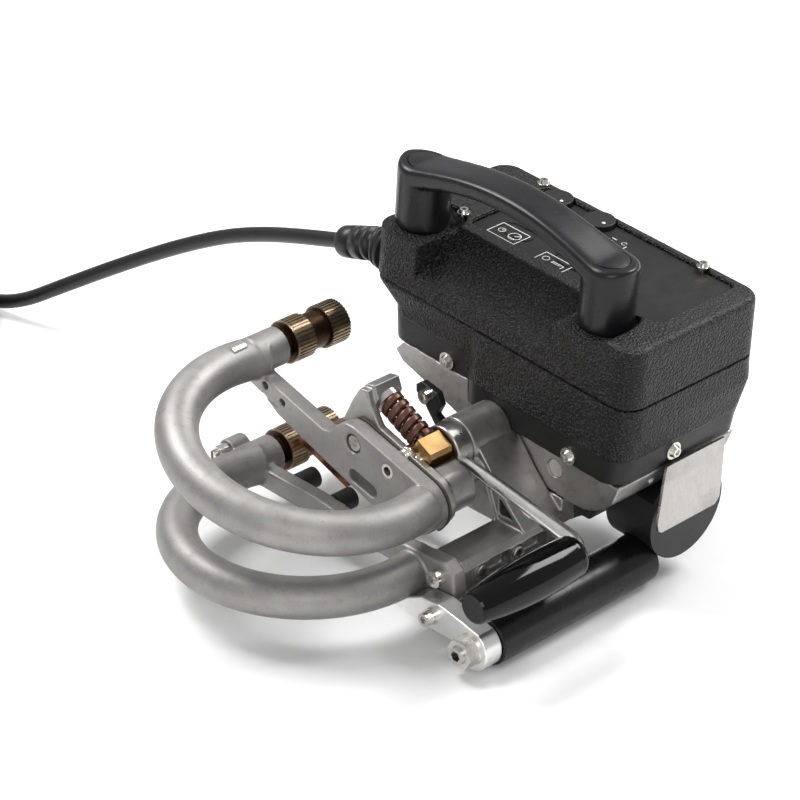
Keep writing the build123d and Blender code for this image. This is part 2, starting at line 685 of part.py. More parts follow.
save(upper_arm, "upper_arm")

with BuildPart() as upper_arm_screws:
    for (a, b) in ((-48.0, 5.2), (6.2, 4.4)):
        add(cap_screw(u_front(-103.05, a, b), 8.6, 2.9, 2.2))
        with BuildSketch(u_front(-103.05, a, b)):
            Circle(2.5)
        extrude(amount=-5.0)
save(upper_arm_screws, "upper_arm_screws")

with BuildPart() as threaded_insert:
    with BuildSketch(u_front(-97.5, -21.3, 6.0)):
        Circle(4.15)
        Circle(2.5, mode=Mode.SUBTRACT)
    extrude(amount=9.3)
save(threaded_insert, "threaded_insert")

with BuildPart() as upper_set_screw:
    with BuildSketch(u_front(-112.0, RHU - 1.5, RHW + 7.2)):
        Circle(4.4)
    extrude(amount=9.0)
    with BuildSketch(u_front(-119.0, RHU - 1.5, RHW + 7.2)):
        RegularPolygon(2.0, 6)
    extrude(amount=4.0, mode=Mode.SUBTRACT)
    with BuildLine(u_top(UW)):
        up2 = CenterArc((UCX, UCY), ARM_R, 13.0, -213.0)
    with BuildSketch(Plane(origin=up2 @ 0, z_dir=up2 % 0)):
        Circle(ARM_T + 0.02)
    sweep(path=up2, mode=Mode.SUBTRACT)
save(upper_set_screw, "upper_set_screw")

# ---- insulating spacer and rocker
ROCK = [(-64.0, 1.0), (-60.0, 26.0), (-55.0, 33.0), (-48.5, 31.0), (-47.0, 23.0), (-24.0, 14.5), (-6.0, 13.6)]
with BuildPart() as arm_spacer:
    with BuildSketch(u_front(-96.0)):
        with BuildLine():
            Polyline((-63.0, 4.0), (-56.0, 14.0), (-50.0, 15.4), (4.2, 13.8))
            ThreePointArc((4.2, 13.8), (17.9, 2.5), (12.2, -13.4))
            Polyline((12.2, -13.4), (4.0, -20.0), (-6.0, -20.0), (-18.0, 0.0), (-63.0, 4.0))
        make_face()
        with Locations((-48.0, 5.2), (6.2, 4.4)):
            Circle(2.6, mode=Mode.SUBTRACT)
        with Locations((-21.3, 6.0)):
            Circle(4.2, mode=Mode.SUBTRACT)
    extrude(amount=1.35)
save(arm_spacer, "arm_spacer")

with BuildPart() as rocker:
    # front cheek
    with BuildSketch(u_front(-91.4)):
        with BuildLine():
            Polyline((-68.0, 3.0), (-64.0, 20.0), (-60.5, 29.5), (-55.0, 31.5), (-50.5, 24.0), (-42.0, 15.8), (4.0, 13.4))
            ThreePointArc((4.0, 13.4), (16.6, 2.5), (12.0, -12.0))
            Polyline((12.0, -12.0), (4.0, -19.0), (-6.0, -19.0), (-18.0, 0.0), (-68.0, 3.0))
        make_face()
    extrude(amount=4.5)
    # upper seat of the spring
    with BuildSketch(u_front(-73.5)):
        with BuildLine():
            Polyline((-66.0, 12.0), (-64.0, 21.0), (-60.5, 31.0), (-54.5, 33.5), (-50.0, 27.0), (-53.4, 12.0), (-66.0, 12.0))
        make_face()
    extrude(amount=18.0)
    # pivot lobe
    with BuildSketch(u_front(-75.1)):
        with BuildLine():
            Polyline((-13.0, 4.0), (-4.0, 13.2), (4.0, 13.2))
            ThreePointArc((4.0, 13.2), (14.5, 2.5), (11.0, -9.0))
            Polyline((11.0, -9.0), (3.0, -19.0), (-6.0, -19.0), (-13.0, -6.0), (-13.0, 4.0))
        make_face()
    extrude(amount=18.5)
    # bores: pivot pin, spring rod, screw holes
    with BuildSketch(u_front(-70.0, 0, 0)):
        Circle(4.56)
    extrude(amount=22.0, mode=Mode.SUBTRACT)
    with BuildSketch(u_front(-88.0)):
        with Locations((-48.0, 5.2), (6.2, 4.4)):
            Circle(2.55)
        with Locations((-21.3, 6.0)):
            Circle(3.2)
    extrude(amount=12.0, mode=Mode.SUBTRACT)
save(rocker, "rocker")

# ---- spring line: from the seat down to the block, in its own tilted frame
SPX, SPZ, SPP = 79.2, 63.8, 27.0
s_top, s_front, s_end, s_pt = tilt(SPX, SPZ, SPP)
SPY = -82.5
with BuildPart() as spring_seat_washer:
    with BuildSketch(s_end(-3.4, SPY)):
        Circle(7.4)
        Circle(2.9, mode=Mode.SUBTRACT)
    extrude(amount=3.4)
save(spring_seat_washer, "spring_seat_washer")

NT = 5
SPL = 30.0
with BuildPart() as pressure_spring:
    for i in range(NT):
        a = 0.15 + i * (SPL - 0.3) / NT
        b = a + 3.6
        with BuildSketch(s_end(a, SPY)):
            Circle(6.6)
            Circle(3.7, mode=Mode.SUBTRACT)
        extrude(amount=3.6)
        if i < NT - 1:
            with BuildSketch(s_end(b - 0.1, SPY)):
                with Locations((0, 5.1 if i % 2 else -5.1)):
                    Rectangle(3.0, 2.4)
            extrude(amount=(SPL - 0.3) / NT - 3.6 + 0.2)
save(pressure_spring, "pressure_spring")

with BuildPart() as spring_rod:
    with BuildSketch(s_end(-3.3, SPY)):
        Circle(2.8)
    extrude(amount=SPL + 3.2)
save(spring_rod, "spring_rod")

with BuildPart() as brass_block:
    with BuildSketch(s_front(-75.6)):
        with BuildLine():
            Polyline((SPL + 0.1, -7.2), (SPL + 0.1, 6.6), (SPL + 11.0, 6.6), (SPL + 13.0, 4.0), (SPL + 13.0, -5.0), (SPL + 9.0, -9.2), (SPL + 3.0, -9.2), (SPL + 0.1, -7.2))
        make_face()
    extrude(amount=15.4)
save(brass_block, "brass_block")

with BuildPart() as brass_block_screw:
    with BuildSketch(s_front(-91.1, SPL + 6.6, -3.6)):
        Circle(5.0)
    extrude(amount=1.2)
    add(button_head(s_front(-92.3, SPL + 6.6, -3.6), 7.8, 7.0, 2.0, 1.7))
save(brass_block_screw, "brass_block_screw")

with BuildPart() as arm_pivot_pin:
    with BuildSketch(pxz(-50.5, PVX, PVZ)):
        Circle(4.5)
    extrude(amount=40.6)
save(arm_pivot_pin, "arm_pivot_pin")


# ---- knurled rollers on overhung shafts
def roller(pl_at):
    with BuildPart() as r:
        with BuildSketch(pl_at(0.0)):
            Circle(8.2)
        extrude(amount=4.2)
        for a, b in ((4.0, 13.2), (29.6, 13.0)):
            with BuildSketch(pl_at(a)):
                Circle(ROLL_R)
            extrude(amount=b)
        with BuildSketch(pl_at(17.0)):
            Circle(ROLL_R - 2.0)
        extrude(amount=12.8)
        # straight grooves
        with BuildSketch(pl_at(4.9)):
            with PolarLocations(ROLL_R + 0.25, 36):
                Rectangle(1.5, 1.15)
        extrude(amount=50.0, mode=Mode.SUBTRACT)
        with BuildSketch(pl_at(-1)):
            Circle(5.06)
        extrude(amount=43.0, mode=Mode.SUBTRACT)
    return r


upper_roller = roller(lambda o: Plane(origin=u_pt(RHU, -86.5 + o, RHW), x_dir=(1, 0, 0), z_dir=(0, 1, 0)))
save(upper_roller, "upper_roller")
lower_roller = roller(lambda o: Plane(origin=W(LHX, -87.5 + o, LHZ), x_dir=(1, 0, 0), z_dir=(0, 1, 0)))
save(lower_roller, "lower_roller")

with BuildPart() as upper_roller_shaft:
    with BuildSketch(Plane(origin=u_pt(RHU, -103.0, RHW), x_dir=(1, 0, 0), z_dir=(0, 1, 0))):
        Circle(5.0)
    extrude(amount=58.4)
save(upper_roller_shaft, "upper_roller_shaft")
with BuildPart() as lower_roller_shaft:
    with BuildSketch(Plane(origin=W(LHX, -107.0, LHZ), x_dir=(1, 0, 0), z_dir=(0, 1, 0))):
        Circle(5.0)
    extrude(amount=61.4)
save(lower_roller_shaft, "lower_roller_shaft")

# ================================================================ clamp lever
with BuildPart() as lever_hub:
    with BuildSketch(pxz(-64.1, DRX, DRZ)):
        Circle(13.4)
        Circle(10.0, mode=Mode.SUBTRACT)
    extrude(amount=10.6)
    with BuildSketch(pxz(-64.1, DRX, DRZ)):
        Circle(10.2)
        Circle(8.0, mode=Mode.SUBTRACT)
    extrude(amount=3.2)
    fillet(lever_hub.faces().sort_by(Axis.Y)[0].edges(), 1.0)
save(lever_hub, "lever_hub")

with BuildPart() as clamp_shaft:
    with BuildSketch(pxz(-37.5, DRX, DRZ)):
        Circle(8.0)
    extrude(amount=29.8)
save(clamp_shaft, "clamp_shaft")

with BuildPart() as hub_bush:
    with BuildSketch(pxz(-67.5, DRX, DRZ)):
        Circle(9.95)
        Circle(6.5, mode=Mode.SUBTRACT)
    extrude(amount=5.4)
save(hub_bush, "hub_bush")

LR0 = (121.6, -69.0, 40.2)
LR1 = (191.0, -60.0, 19.0)
GX, GZ = 200.0, 16.4
with BuildPart() as lever_rod:
    with BuildLine():
        rl = FilletPolyline(W(GX - 14.0, -60.76, GZ + 4.3), W(GX, -58.9, GZ), W(GX, -74.0, GZ), radius=9.0)
    with BuildSketch(Plane(origin=rl @ 0, z_dir=rl % 0)):
        Circle(4.7)
    sweep(path=rl)
    with BuildSketch(Plane(origin=W(*LR0), z_dir=rl % 0)):
        Circle(2.9)
    with BuildSketch(Plane(origin=rl @ 0, z_dir=rl % 0)):
        Circle(4.7)
    loft()
    with BuildSketch(pxz(-74.0, GX, GZ)):
        Circle(3.0)
    extrude(amount=60.0)
    with BuildSketch(pxz(-64.1, DRX, DRZ)):
        Circle(13.45)
    extrude(amount=10.6, mode=Mode.SUBTRACT)
save(lever_rod, "lever_rod")

with BuildPart() as lever_grip:
    with BuildSketch(Plane(origin=W(GX, 0, GZ), x_dir=(0, 1, 0), z_dir=(1, 0, 0))):
        with BuildLine():
            Line((-65.0, 4.9), (-65.0, 8.6))
            ThreePointArc((-65.0, 8.6), (-67.5, 10.9), (-71.0, 11.6))
            ThreePointArc((-71.0, 11.6), (-96.0, 12.7), (-139.0, 8.6))
            Line((-139.0, 8.6), (-140.0, 7.8))
            Line((-140.0, 7.8), (-140.0, 0.0))
            Line((-140.0, 0.0), (-134.5, 0.0))
            Line((-134.5, 0.0), (-134.5, 3.05))
            Line((-134.5, 3.05), (-75.0, 3.05))
            Line((-75.0, 3.05), (-75.0, 4.9))
            Line((-75.0, 4.9), (-65.0, 4.9))
        make_face()
    revolve(axis=Axis(W(GX, 0, GZ), (0, 1, 0)))
save(lever_grip, "lever_grip")

# ================================================================ small black bracket with its clamp screw
with BuildPart() as cable_bracket:
    with BuildSketch(pxz(-58.0)):
        with BuildLine():
            Polyline((78.0, 66.0), (82.0, 69.0), (94.0, 66.5), (97.0, 60.0), (93.5, 53.0), (102.0, 49.0), (101.0, 44.0), (94.0, 45.0), (85.0, 56.0), (78.0, 62.0), (78.0, 66.0))
        make_face()
    extrude(amount=4.5)
save(cable_bracket, "cable_bracket")
with BuildPart() as cable_bracket_screw:
    add(cap_screw(pxz(-62.55, 88.5, 64.0), 8.0, 5.0, 2.2))
save(cable_bracket_screw, "cable_bracket_screw")

# ================================================================ hot wedge
WZP = 15.0
w_top, w_front, w_end, w_pt = tilt(8.0, 4.0, WZP)
with BuildPart() as hot_wedge:
    with BuildSketch(w_front(-44.0)):
        with BuildLine():
            Polyline((-8.0, 0.3), (-4.0, 2.4), (34.0, 5.0), (34.0, -3.4), (-6.0, -0.8), (-8.0, 0.3))
        make_face()
    extrude(amount=34.6)
save(hot_wedge, "hot_wedge")
with BuildPart() as heater_block:
    with BuildSketch(w_front(-48.0)):
        with BuildLine():
            Polyline((6.0, 4.0), (10.0, 15.0), (22.0, 20.0), (33.0, 16.0), (33.5, 5.3), (6.0, 3.45), (6.0, 4.0))
        make_face()
    extrude(amount=18.0)
save(heater_block, "heater_block")
with BuildPart() as heater_screw:
    add(cap_screw(w_front(-66.05, 24.0, 12.0), 7.6, 4.0, 2.0))
save(heater_screw, "heater_screw")
with BuildPart() as wedge_carrier:
    with BuildSketch(w_end(34.1, -57.0, 1.0)):
        RectangleRounded(22.0, 7.6, 1.5)
    extrude(amount=20.0)
    with BuildSketch(w_end(52.0, -57.0, 1.0)):
        Circle(4.0)
    extrude(amount=36.0)
save(wedge_carrier, "wedge_carrier")


def contour(x, z):
    with BuildPart() as c:
        with BuildSketch(pxz(-80.8, x, z)):
            Circle(6.0)
            Circle(2.04, mode=Mode.SUBTRACT)
        extrude(amount=13.0)
        fillet(c.edges().filter_by(GeomType.CIRCLE).filter_by(lambda e: e.radius > 5), 0.8)
    return c


contour_roller_a = contour(17.0, -10.0)
save(contour_roller_a, "contour_roller_a")
contour_roller_b = contour(47.0, -10.0)
save(contour_roller_b, "contour_roller_b")
with BuildPart() as contour_pins:
    for x in (17.0, 47.0):
        with BuildSketch(pxz(-80.4, x, -10.0)):
            Circle(2.0)
        extrude(amount=19.2)
        with BuildSketch(pxz(-80.5, x, -10.0)):
            Circle(3.4)
        extrude(amount=-1.1)
save(contour_pins, "contour_pins")

# ================================================================ gear train inside the base
with BuildPart() as drive_gear:
    with BuildSketch(pxz(-34.0 + 30, 152.0, 33.0)):
        Circle(7.0)
        with PolarLocations(7.0, 18):
            Rectangle(2.2, 1.2)
    extrude(amount=8.0)
    with BuildSketch(pxz(0.0, 152.0, 33.0)):
        Circle(5.0)
    extrude(amount=31.2)
save(drive_gear, "drive_gear")

# ================================================================ cable gland, cord, plug
TIPU, TIPV = HL0 - 38.0, 41.5
GT = h_pt(TIPU, GLY, TIPV)                  # mouth of the gland
with BuildPart() as cable_gland:
    with BuildSketch(h_end(HL0 + 7.0, GLY, GLZV)):
        Circle(9.9)
        Circle(4.9, mode=Mode.SUBTRACT)
    extrude(amount=-7.2)
    with BuildSketch(h_end(HL0 - 0.1, GLY, GLZV)):
        Circle(13.6)
    extrude(amount=-6.0)
    with BuildSketch(h_end(HL0 - 6.0, GLY, GLZV)):
        Circle(10.4)
    with BuildSketch(Plane(origin=GT, x_dir=(0, 1, 0), z_dir=Vector(*W(-70.0, -17.2, 86.0)) - Vector(*GT))):
        Circle(6.4)
    loft()
save(cable_gland, "cable_gland")

# ---- mains cord: drops from the gland to the floor, then a coil and the plug
CR = CORD_D / 2
ROUTE = [
    GT,
    W(-70.0, -17.2, 86.0),
    W(-119.3, -19.0, 69.4),
    W(-164.0, -25.0, 47.5),
    W(-207.8, -36.0, 22.7),
    W(-246.7, -50.0, -0.8),
    W(-276.0, -60.5, -19.0),
    W(-303.0, -65.5, -27.6),
    W(-330.0, -67.0, -29.2),
]


def route_radii(pts):
    out = []
    for i in range(1, len(pts) - 1):
        a = Vector(*pts[i]) - Vector(*pts[i - 1])
        b = Vector(*pts[i + 1]) - Vector(*pts[i])
        turn = radians(a.get_angle(b))
        out.append(0.45 * min(a.length, b.length) / tan(turn / 2))
    return out


RR = route_radii(ROUTE)
print("cord radii", [round(r, 1) for r in RR])
with BuildPart() as power_cord:
    with BuildLine():
        cl = FilletPolyline(*ROUTE, radius=RR)
    with BuildSketch(Plane(origin=cl @ 0, z_dir=cl % 0)):
        Circle(CR)
    sweep(path=cl)
print("cord length", round(cl.length, 1), "volume ratio", round(power_cord.part.volume / (pi * CR * CR * cl.length), 4))
save(power_cord, "power_cord")

# coil: the loose stretch runs onto it along its rim
COIL_C = W(-338.0, -127.0, 0)
COIL_RO, COIL_RI, COIL_H = 65.5, 36.0, 28.4
with BuildPart() as cord_coil:
    with BuildSketch(Plane(origin=(COIL_C[0], COIL_C[1], 0.2), z_dir=(0, 0, 1))):
        Circle(COIL_RO)
        Circle(COIL_RI, mode=Mode.SUBTRACT)
    extrude(amount=COIL_H)
save(cord_coil, "cord_coil")

# generic mains plug lying beside the coil
PLX, PLY = COIL_C[0] + 30.0, COIL_C[1] - 92.0
with BuildPart() as cord_plug:
    with BuildSketch(Plane(origin=(PLX, PLY, 19.0), x_dir=(0, 1, 0), z_dir=(1, 0, 0))):
        Circle(18.6)
    extrude(amount=20.0)
    with BuildSketch(Plane(origin=(PLX, PLY, 19.0), x_dir=(0, 1, 0), z_dir=(1, 0, 0))):
        Circle(16.0)
    with BuildSketch(Plane(origin=(PLX - 26.0, PLY, 15.0), x_dir=(0, 1, 0), z_dir=(1, 0, 0))):
        Circle(6.5)
    loft()
    with BuildSketch(Plane(origin=(PLX + 20.0, PLY, 19.0), x_dir=(0, 1, 0), z_dir=(1, 0, 0))):
        with Locations((-9.5, 0), (9.5, 0)):
            Circle(2.4)
    extrude(amount=19.0)
save(cord_plug, "cord_plug")


# ================================================================ seats: fixed pieces are cut to the pieces they hold
def seat(host, label, *held):
    with BuildPart() as b:
        add(host.part)
        for k in held:
            add(k.part, mode=Mode.SUBTRACT)
    save(b, label)
    return b


upper_housing_cover = seat(upper_housing_cover, "upper_housing_cover", housing_screws, carry_handle, handle_bolts, control_board)
lower_housing_shell = seat(lower_housing_shell, "lower_housing_shell", housing_screws)
carry_handle = seat(carry_handle, "carry_handle", handle_bolts)
control_panel = seat(control_panel, "control_panel", carry_handle, housing_screws)
drive_motor = seat(drive_motor, "drive_motor", roller_axle)
gearbox_housing = seat(gearbox_housing, "gearbox_housing", drive_motor)
base_casting = seat(base_casting, "base_casting", drive_motor, motor_end_cover, gearbox_housing, housing_screws, lower_housing_shell)
clamp_frame = seat(clamp_frame, "clamp_frame", beam_sleeves, lower_housing_shell, base_casting, gearbox_housing, arm_pivot_pin)
motor_sheet_cover = seat(motor_sheet_cover, "motor_sheet_cover", lower_housing_shell, motor_end_cover, drive_motor, base_casting)
lower_arm = seat(lower_arm, "lower_arm", lower_adjuster, lower_arm_screws, contour_pins, clamp_frame, lower_roller_shaft)
end_bracket = seat(end_bracket, "end_bracket", lower_arm, clamp_frame, roller_axle, lower_arm_screws)
rocker = seat(rocker, "rocker", spring_rod, spring_seat_washer, brass_block, brass_block_screw, upper_arm_screws)
lever_grip = seat(lever_grip, "lever_grip", lever_rod)
lever_hub = seat(lever_hub, "lever_hub", clamp_shaft, hub_bush)
cable_bracket = seat(cable_bracket, "cable_bracket", clamp_frame)
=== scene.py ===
import bpy, bmesh, math
from math import sin, cos, radians, pi, sqrt
from mathutils import Vector, Matrix


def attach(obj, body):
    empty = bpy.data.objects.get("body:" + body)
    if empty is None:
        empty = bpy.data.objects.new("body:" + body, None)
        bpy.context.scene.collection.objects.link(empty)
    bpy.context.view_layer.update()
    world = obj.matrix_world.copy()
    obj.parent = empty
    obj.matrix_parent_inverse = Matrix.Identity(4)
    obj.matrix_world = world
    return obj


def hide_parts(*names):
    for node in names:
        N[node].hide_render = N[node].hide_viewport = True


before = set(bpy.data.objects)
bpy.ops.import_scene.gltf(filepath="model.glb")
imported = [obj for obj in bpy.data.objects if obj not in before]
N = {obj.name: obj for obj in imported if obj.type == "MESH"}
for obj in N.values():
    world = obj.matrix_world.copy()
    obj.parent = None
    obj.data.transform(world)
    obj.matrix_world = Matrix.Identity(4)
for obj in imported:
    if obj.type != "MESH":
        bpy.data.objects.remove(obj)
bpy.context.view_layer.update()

# ------------------------------------------------------------------ frame helpers (design millimetres -> metres)
OX, OY, OZ = -92.87, 69.8, 34.0


def W(x, y, z):
    return Vector((x + OX, y + OY, z + OZ)) / 1000


def tilt(px, pz, pitch):
    c, s = cos(radians(pitch)), sin(radians(pitch))
    return lambda u, y, v: W(px + u * c + v * s, y, pz - u * s + v * c)


H_ = tilt(105.0, 47.5, 4.0)        # housing frame: along, across, up
U_ = tilt(122.0, 30.0, 13.5)       # upper arm frame
S_ = tilt(79.2, 63.8, 27.0)        # spring frame

# ------------------------------------------------------------------ camera
back = Vector((0.631373, -0.599813, 0.491520)).normalized()
right = Vector((0.688754, 0.724995, 0.0)).normalized()
upv = back.cross(right).normalized()
cam_d = bpy.data.cameras.new("camera")
cam_d.sensor_width = 36.0
cam_d.lens = 134.68
cam_d.clip_end = 50
cam = bpy.data.objects.new("camera", cam_d)
bpy.context.scene.collection.objects.link(cam)
loc = Vector((OX, OY, OZ)) / 1000 + back * 1.7102
cam.matrix_world = Matrix(((right.x, upv.x, back.x, loc.x), (right.y, upv.y, back.y, loc.y), (right.z, upv.z, back.z, loc.z), (0, 0, 0, 1)))
bpy.context.scene.camera = cam

# ------------------------------------------------------------------ mains cord on one NURBS spline
CR = 4.5
GT = H_(-95.5 - 38.0, -18.0, 41.5)
ROUTE = [GT, W(-70.0, -17.2, 86.0), W(-119.3, -19.0, 69.4), W(-164.0, -25.0, 47.5), W(-207.8, -36.0, 22.7),
         W(-246.7, -50.0, -0.8), W(-276.0, -60.5, -19.0), W(-303.0, -65.5, -27.6), W(-330.0, -67.0, -29.2)]
CX, CY = -338.0, -127.0            # coil centre, design millimetres
pts = list(ROUTE)
A0 = math.atan2(-67.0 - CY, -330.0 - CX)
turns = [(60.0, 4.75), (50.6, 4.75), (41.2, 4.75), (41.2, 14.15), (50.6, 14.15), (60.0, 14.15), (60.0, 23.55)]
NP = 16
for k, (r0, z0) in enumerate(turns):
    r1, z1 = turns[k + 1] if k + 1 < len(turns) else (r0, z0)
    for i in range(1, NP + 1):
        t = i / NP
        e = min(1.0, max(0.0, (t - 0.72) / 0.28))
        e = e * e * (3 - 2 * e)
        a = A0 + 2 * pi * t
        r, z = r0 + (r1 - r0) * e, z0 + (z1 - z0) * e
        r = r / cos(pi / NP) * 0.995
        pts.append(W(CX + r * cos(a), CY + r * sin(a), z - OZ))
for deg, r, z in ((105, 60.6, 23.5), (128, 60.6, 23.5), (151, 60.6, 23.5), (174, 60.8, 23.5), (196, 61.5, 23.2), (216, 66.0, 21.0), (234, 76.0, 17.5), (250, 87.0, 15.4)):
    a = radians(deg)
    pts.append(W(CX + r * cos(a), CY + r * sin(a), z - OZ))
pts.append(W(CX - 12.0, CY - 91.8, 15.0 - OZ))
pts.append(W(CX + 4.2, CY - 92.0, 15.0 - OZ))
cd = bpy.data.curves.new("mains_cord", "CURVE")
cd.dimensions = "3D"
sp = cd.splines.new("NURBS")
sp.points.add(len(pts) - 1)
for p, q in zip(sp.points, pts):
    p.co = (q.x, q.y, q.z, 1.0)
    p.radius = 0.0045
sp.order_u = 3
sp.use_endpoint_u = True
sp.resolution_u = 8
cd.bevel_depth = 0.0
cord = bpy.data.objects.new("mains_cord", cd)
bpy.context.scene.collection.objects.link(cord)
bpy.context.view_layer.update()
line = bpy.data.meshes.new_from_object(cord.evaluated_get(bpy.context.evaluated_depsgraph_get()))
cd.bevel_depth = 1.0
cd.bevel_resolution = 6
cd.use_fill_caps = True
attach(cord, "chassis")
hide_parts("power_cord", "cord_coil")


# ------------------------------------------------------------------ material kit
def new_mat(name):
    m = bpy.data.materials.new(name)
    m.use_nodes = True
    nt = m.node_tree
    for n in list(nt.nodes):
        nt.nodes.remove(n)
    out = nt.nodes.new("ShaderNodeOutputMaterial")
    b = nt.nodes.new("ShaderNodeBsdfPrincipled")
    nt.links.new(b.outputs[0], out.inputs[0])
    co = nt.nodes.new("ShaderNodeTexCoord")
    return m, nt, b, co.outputs["Object"]


def noise(nt, vec, scale, detail=4.0, rough=0.6, stretch=None):
    if stretch:
        mp = nt.nodes.new("ShaderNodeMapping")
        mp.inputs["Scale"].default_value = stretch
        nt.links.new(vec, mp.inputs["Vector"])
        vec = mp.outputs[0]
    n = nt.nodes.new("ShaderNodeTexNoise")
    n.inputs["Scale"].default_value = scale
    n.inputs["Detail"].default_value = detail
    n.inputs["Roughness"].default_value = rough
    nt.links.new(vec, n.inputs["Vector"])
    return n.outputs[0]


def ramp(nt, fac, stops, mode="LINEAR"):
    r = nt.nodes.new("ShaderNodeValToRGB")
    r.color_ramp.interpolation = mode
    els = r.color_ramp.elements
    while len(els) < len(stops):
        els.new(0.5)
    for e, (p, c) in zip(els, stops):
        e.position = p
        e.color = (c[0], c[1], c[2], 1) if hasattr(c, "__len__") else (c, c, c, 1)
    nt.links.new(fac, r.inputs[0])
    return r.outputs[0]


def math_(nt, op, a, b=None, c=None, clamp=False):
    n = nt.nodes.new("ShaderNodeMath")
    n.operation = op
    n.use_clamp = clamp
    for i, v in enumerate((a, b, c)):
        if v is None:
            continue
        if isinstance(v, (int, float)):
            n.inputs[i].default_value = v
        else:
            nt.links.new(v, n.inputs[i])
    return n.outputs[0]


def dot(nt, vec, d):
    n = nt.nodes.new("ShaderNodeVectorMath")
    n.operation = "DOT_PRODUCT"
    nt.links.new(vec, n.inputs[0])
    n.inputs[1].default_value = d
    return n.outputs["Value"]


def mixc(nt, fac, a, b, mode="MIX"):
    n = nt.nodes.new("ShaderNodeMix")
    n.data_type = "RGBA"
    n.blend_type = mode
    for sock, v in ((n.inputs[0], fac), (n.inputs[6], a), (n.inputs[7], b)):
        if isinstance(v, (int, float)):
            sock.default_value = v
        elif isinstance(v, (tuple, list)):
            sock.default_value = (v[0], v[1], v[2], 1)
        else:
            nt.links.new(v, sock)
    return n.outputs[2]


def bump(nt, b, h, strength, dist):
    n = nt.nodes.new("ShaderNodeBump")
    n.inputs["Strength"].default_value = strength
    n.inputs["Distance"].default_value = dist
    nt.links.new(h, n.inputs["Height"])
    nt.links.new(n.outputs[0], b.inputs["Normal"])


def metal(name, lo, hi, rough, nscale=900, bstr=0.2, bdist=0.00006, metallic=1.0, big=40, stretch=None, rvar=0.06, dirt=0.35):
    """Metal with grain, soft blotches of tone and dirt gathering in uneven patches."""
    m, nt, b, co = new_mat(name)
    fine = noise(nt, co, nscale, 3, 0.65, stretch)
    blot = noise(nt, co, big, 5, 0.6)
    c = ramp(nt, blot, [(0.3, lo), (0.7, hi)])
    dark = tuple(x * (1 - dirt) for x in lo)
    patch = noise(nt, co, big * 3.1, 8, 0.7)
    msk = ramp(nt, patch, [(0.52, 0.0), (0.78, 1.0)])
    c = mixc(nt, msk, c, dark)
    c2 = mixc(nt, 0.12, c, ramp(nt, fine, [(0.3, tuple(x * 0.6 for x in lo)), (0.7, tuple(min(1, x * 1.25) for x in hi))]))
    nt.links.new(c2, b.inputs["Base Color"])
    r = ramp(nt, noise(nt, co, min(nscale * 0.25, 240), 4, 0.6, stretch), [(0.25, max(0.02, rough - rvar)), (0.75, min(1, rough + rvar))])
    nt.links.new(r, b.inputs["Roughness"])
    b.inputs["Metallic"].default_value = metallic
    bump(nt, b, fine, bstr, bdist)
    return m


def plastic(name, lo, hi, rough, nscale=600, bstr=0.15, bdist=0.00006, rvar=0.08, big=25, coat=0.0, spec=0.5):
    m, nt, b, co = new_mat(name)
    fine = noise(nt, co, nscale, 4, 0.6)
    blot = noise(nt, co, big, 5, 0.6)
    c = ramp(nt, blot, [(0.3, lo), (0.7, hi)])
    c = mixc(nt, 0.25, c, ramp(nt, fine, [(0.35, tuple(x * 0.7 for x in lo)), (0.65, tuple(min(1, x * 1.3) for x in hi))]))
    nt.links.new(c, b.inputs["Base Color"])
    r = ramp(nt, noise(nt, co, big * 4, 6, 0.6), [(0.3, max(0.02, rough - rvar)), (0.7, min(1, rough + rvar))])
    nt.links.new(r, b.inputs["Roughness"])
    b.inputs["Specular IOR Level"].default_value = spec
    b.inputs["Coat Weight"].default_value = coat
    b.inputs["Coat Roughness"].default_value = 0.1
    bump(nt, b, fine, bstr, bdist)
    return m


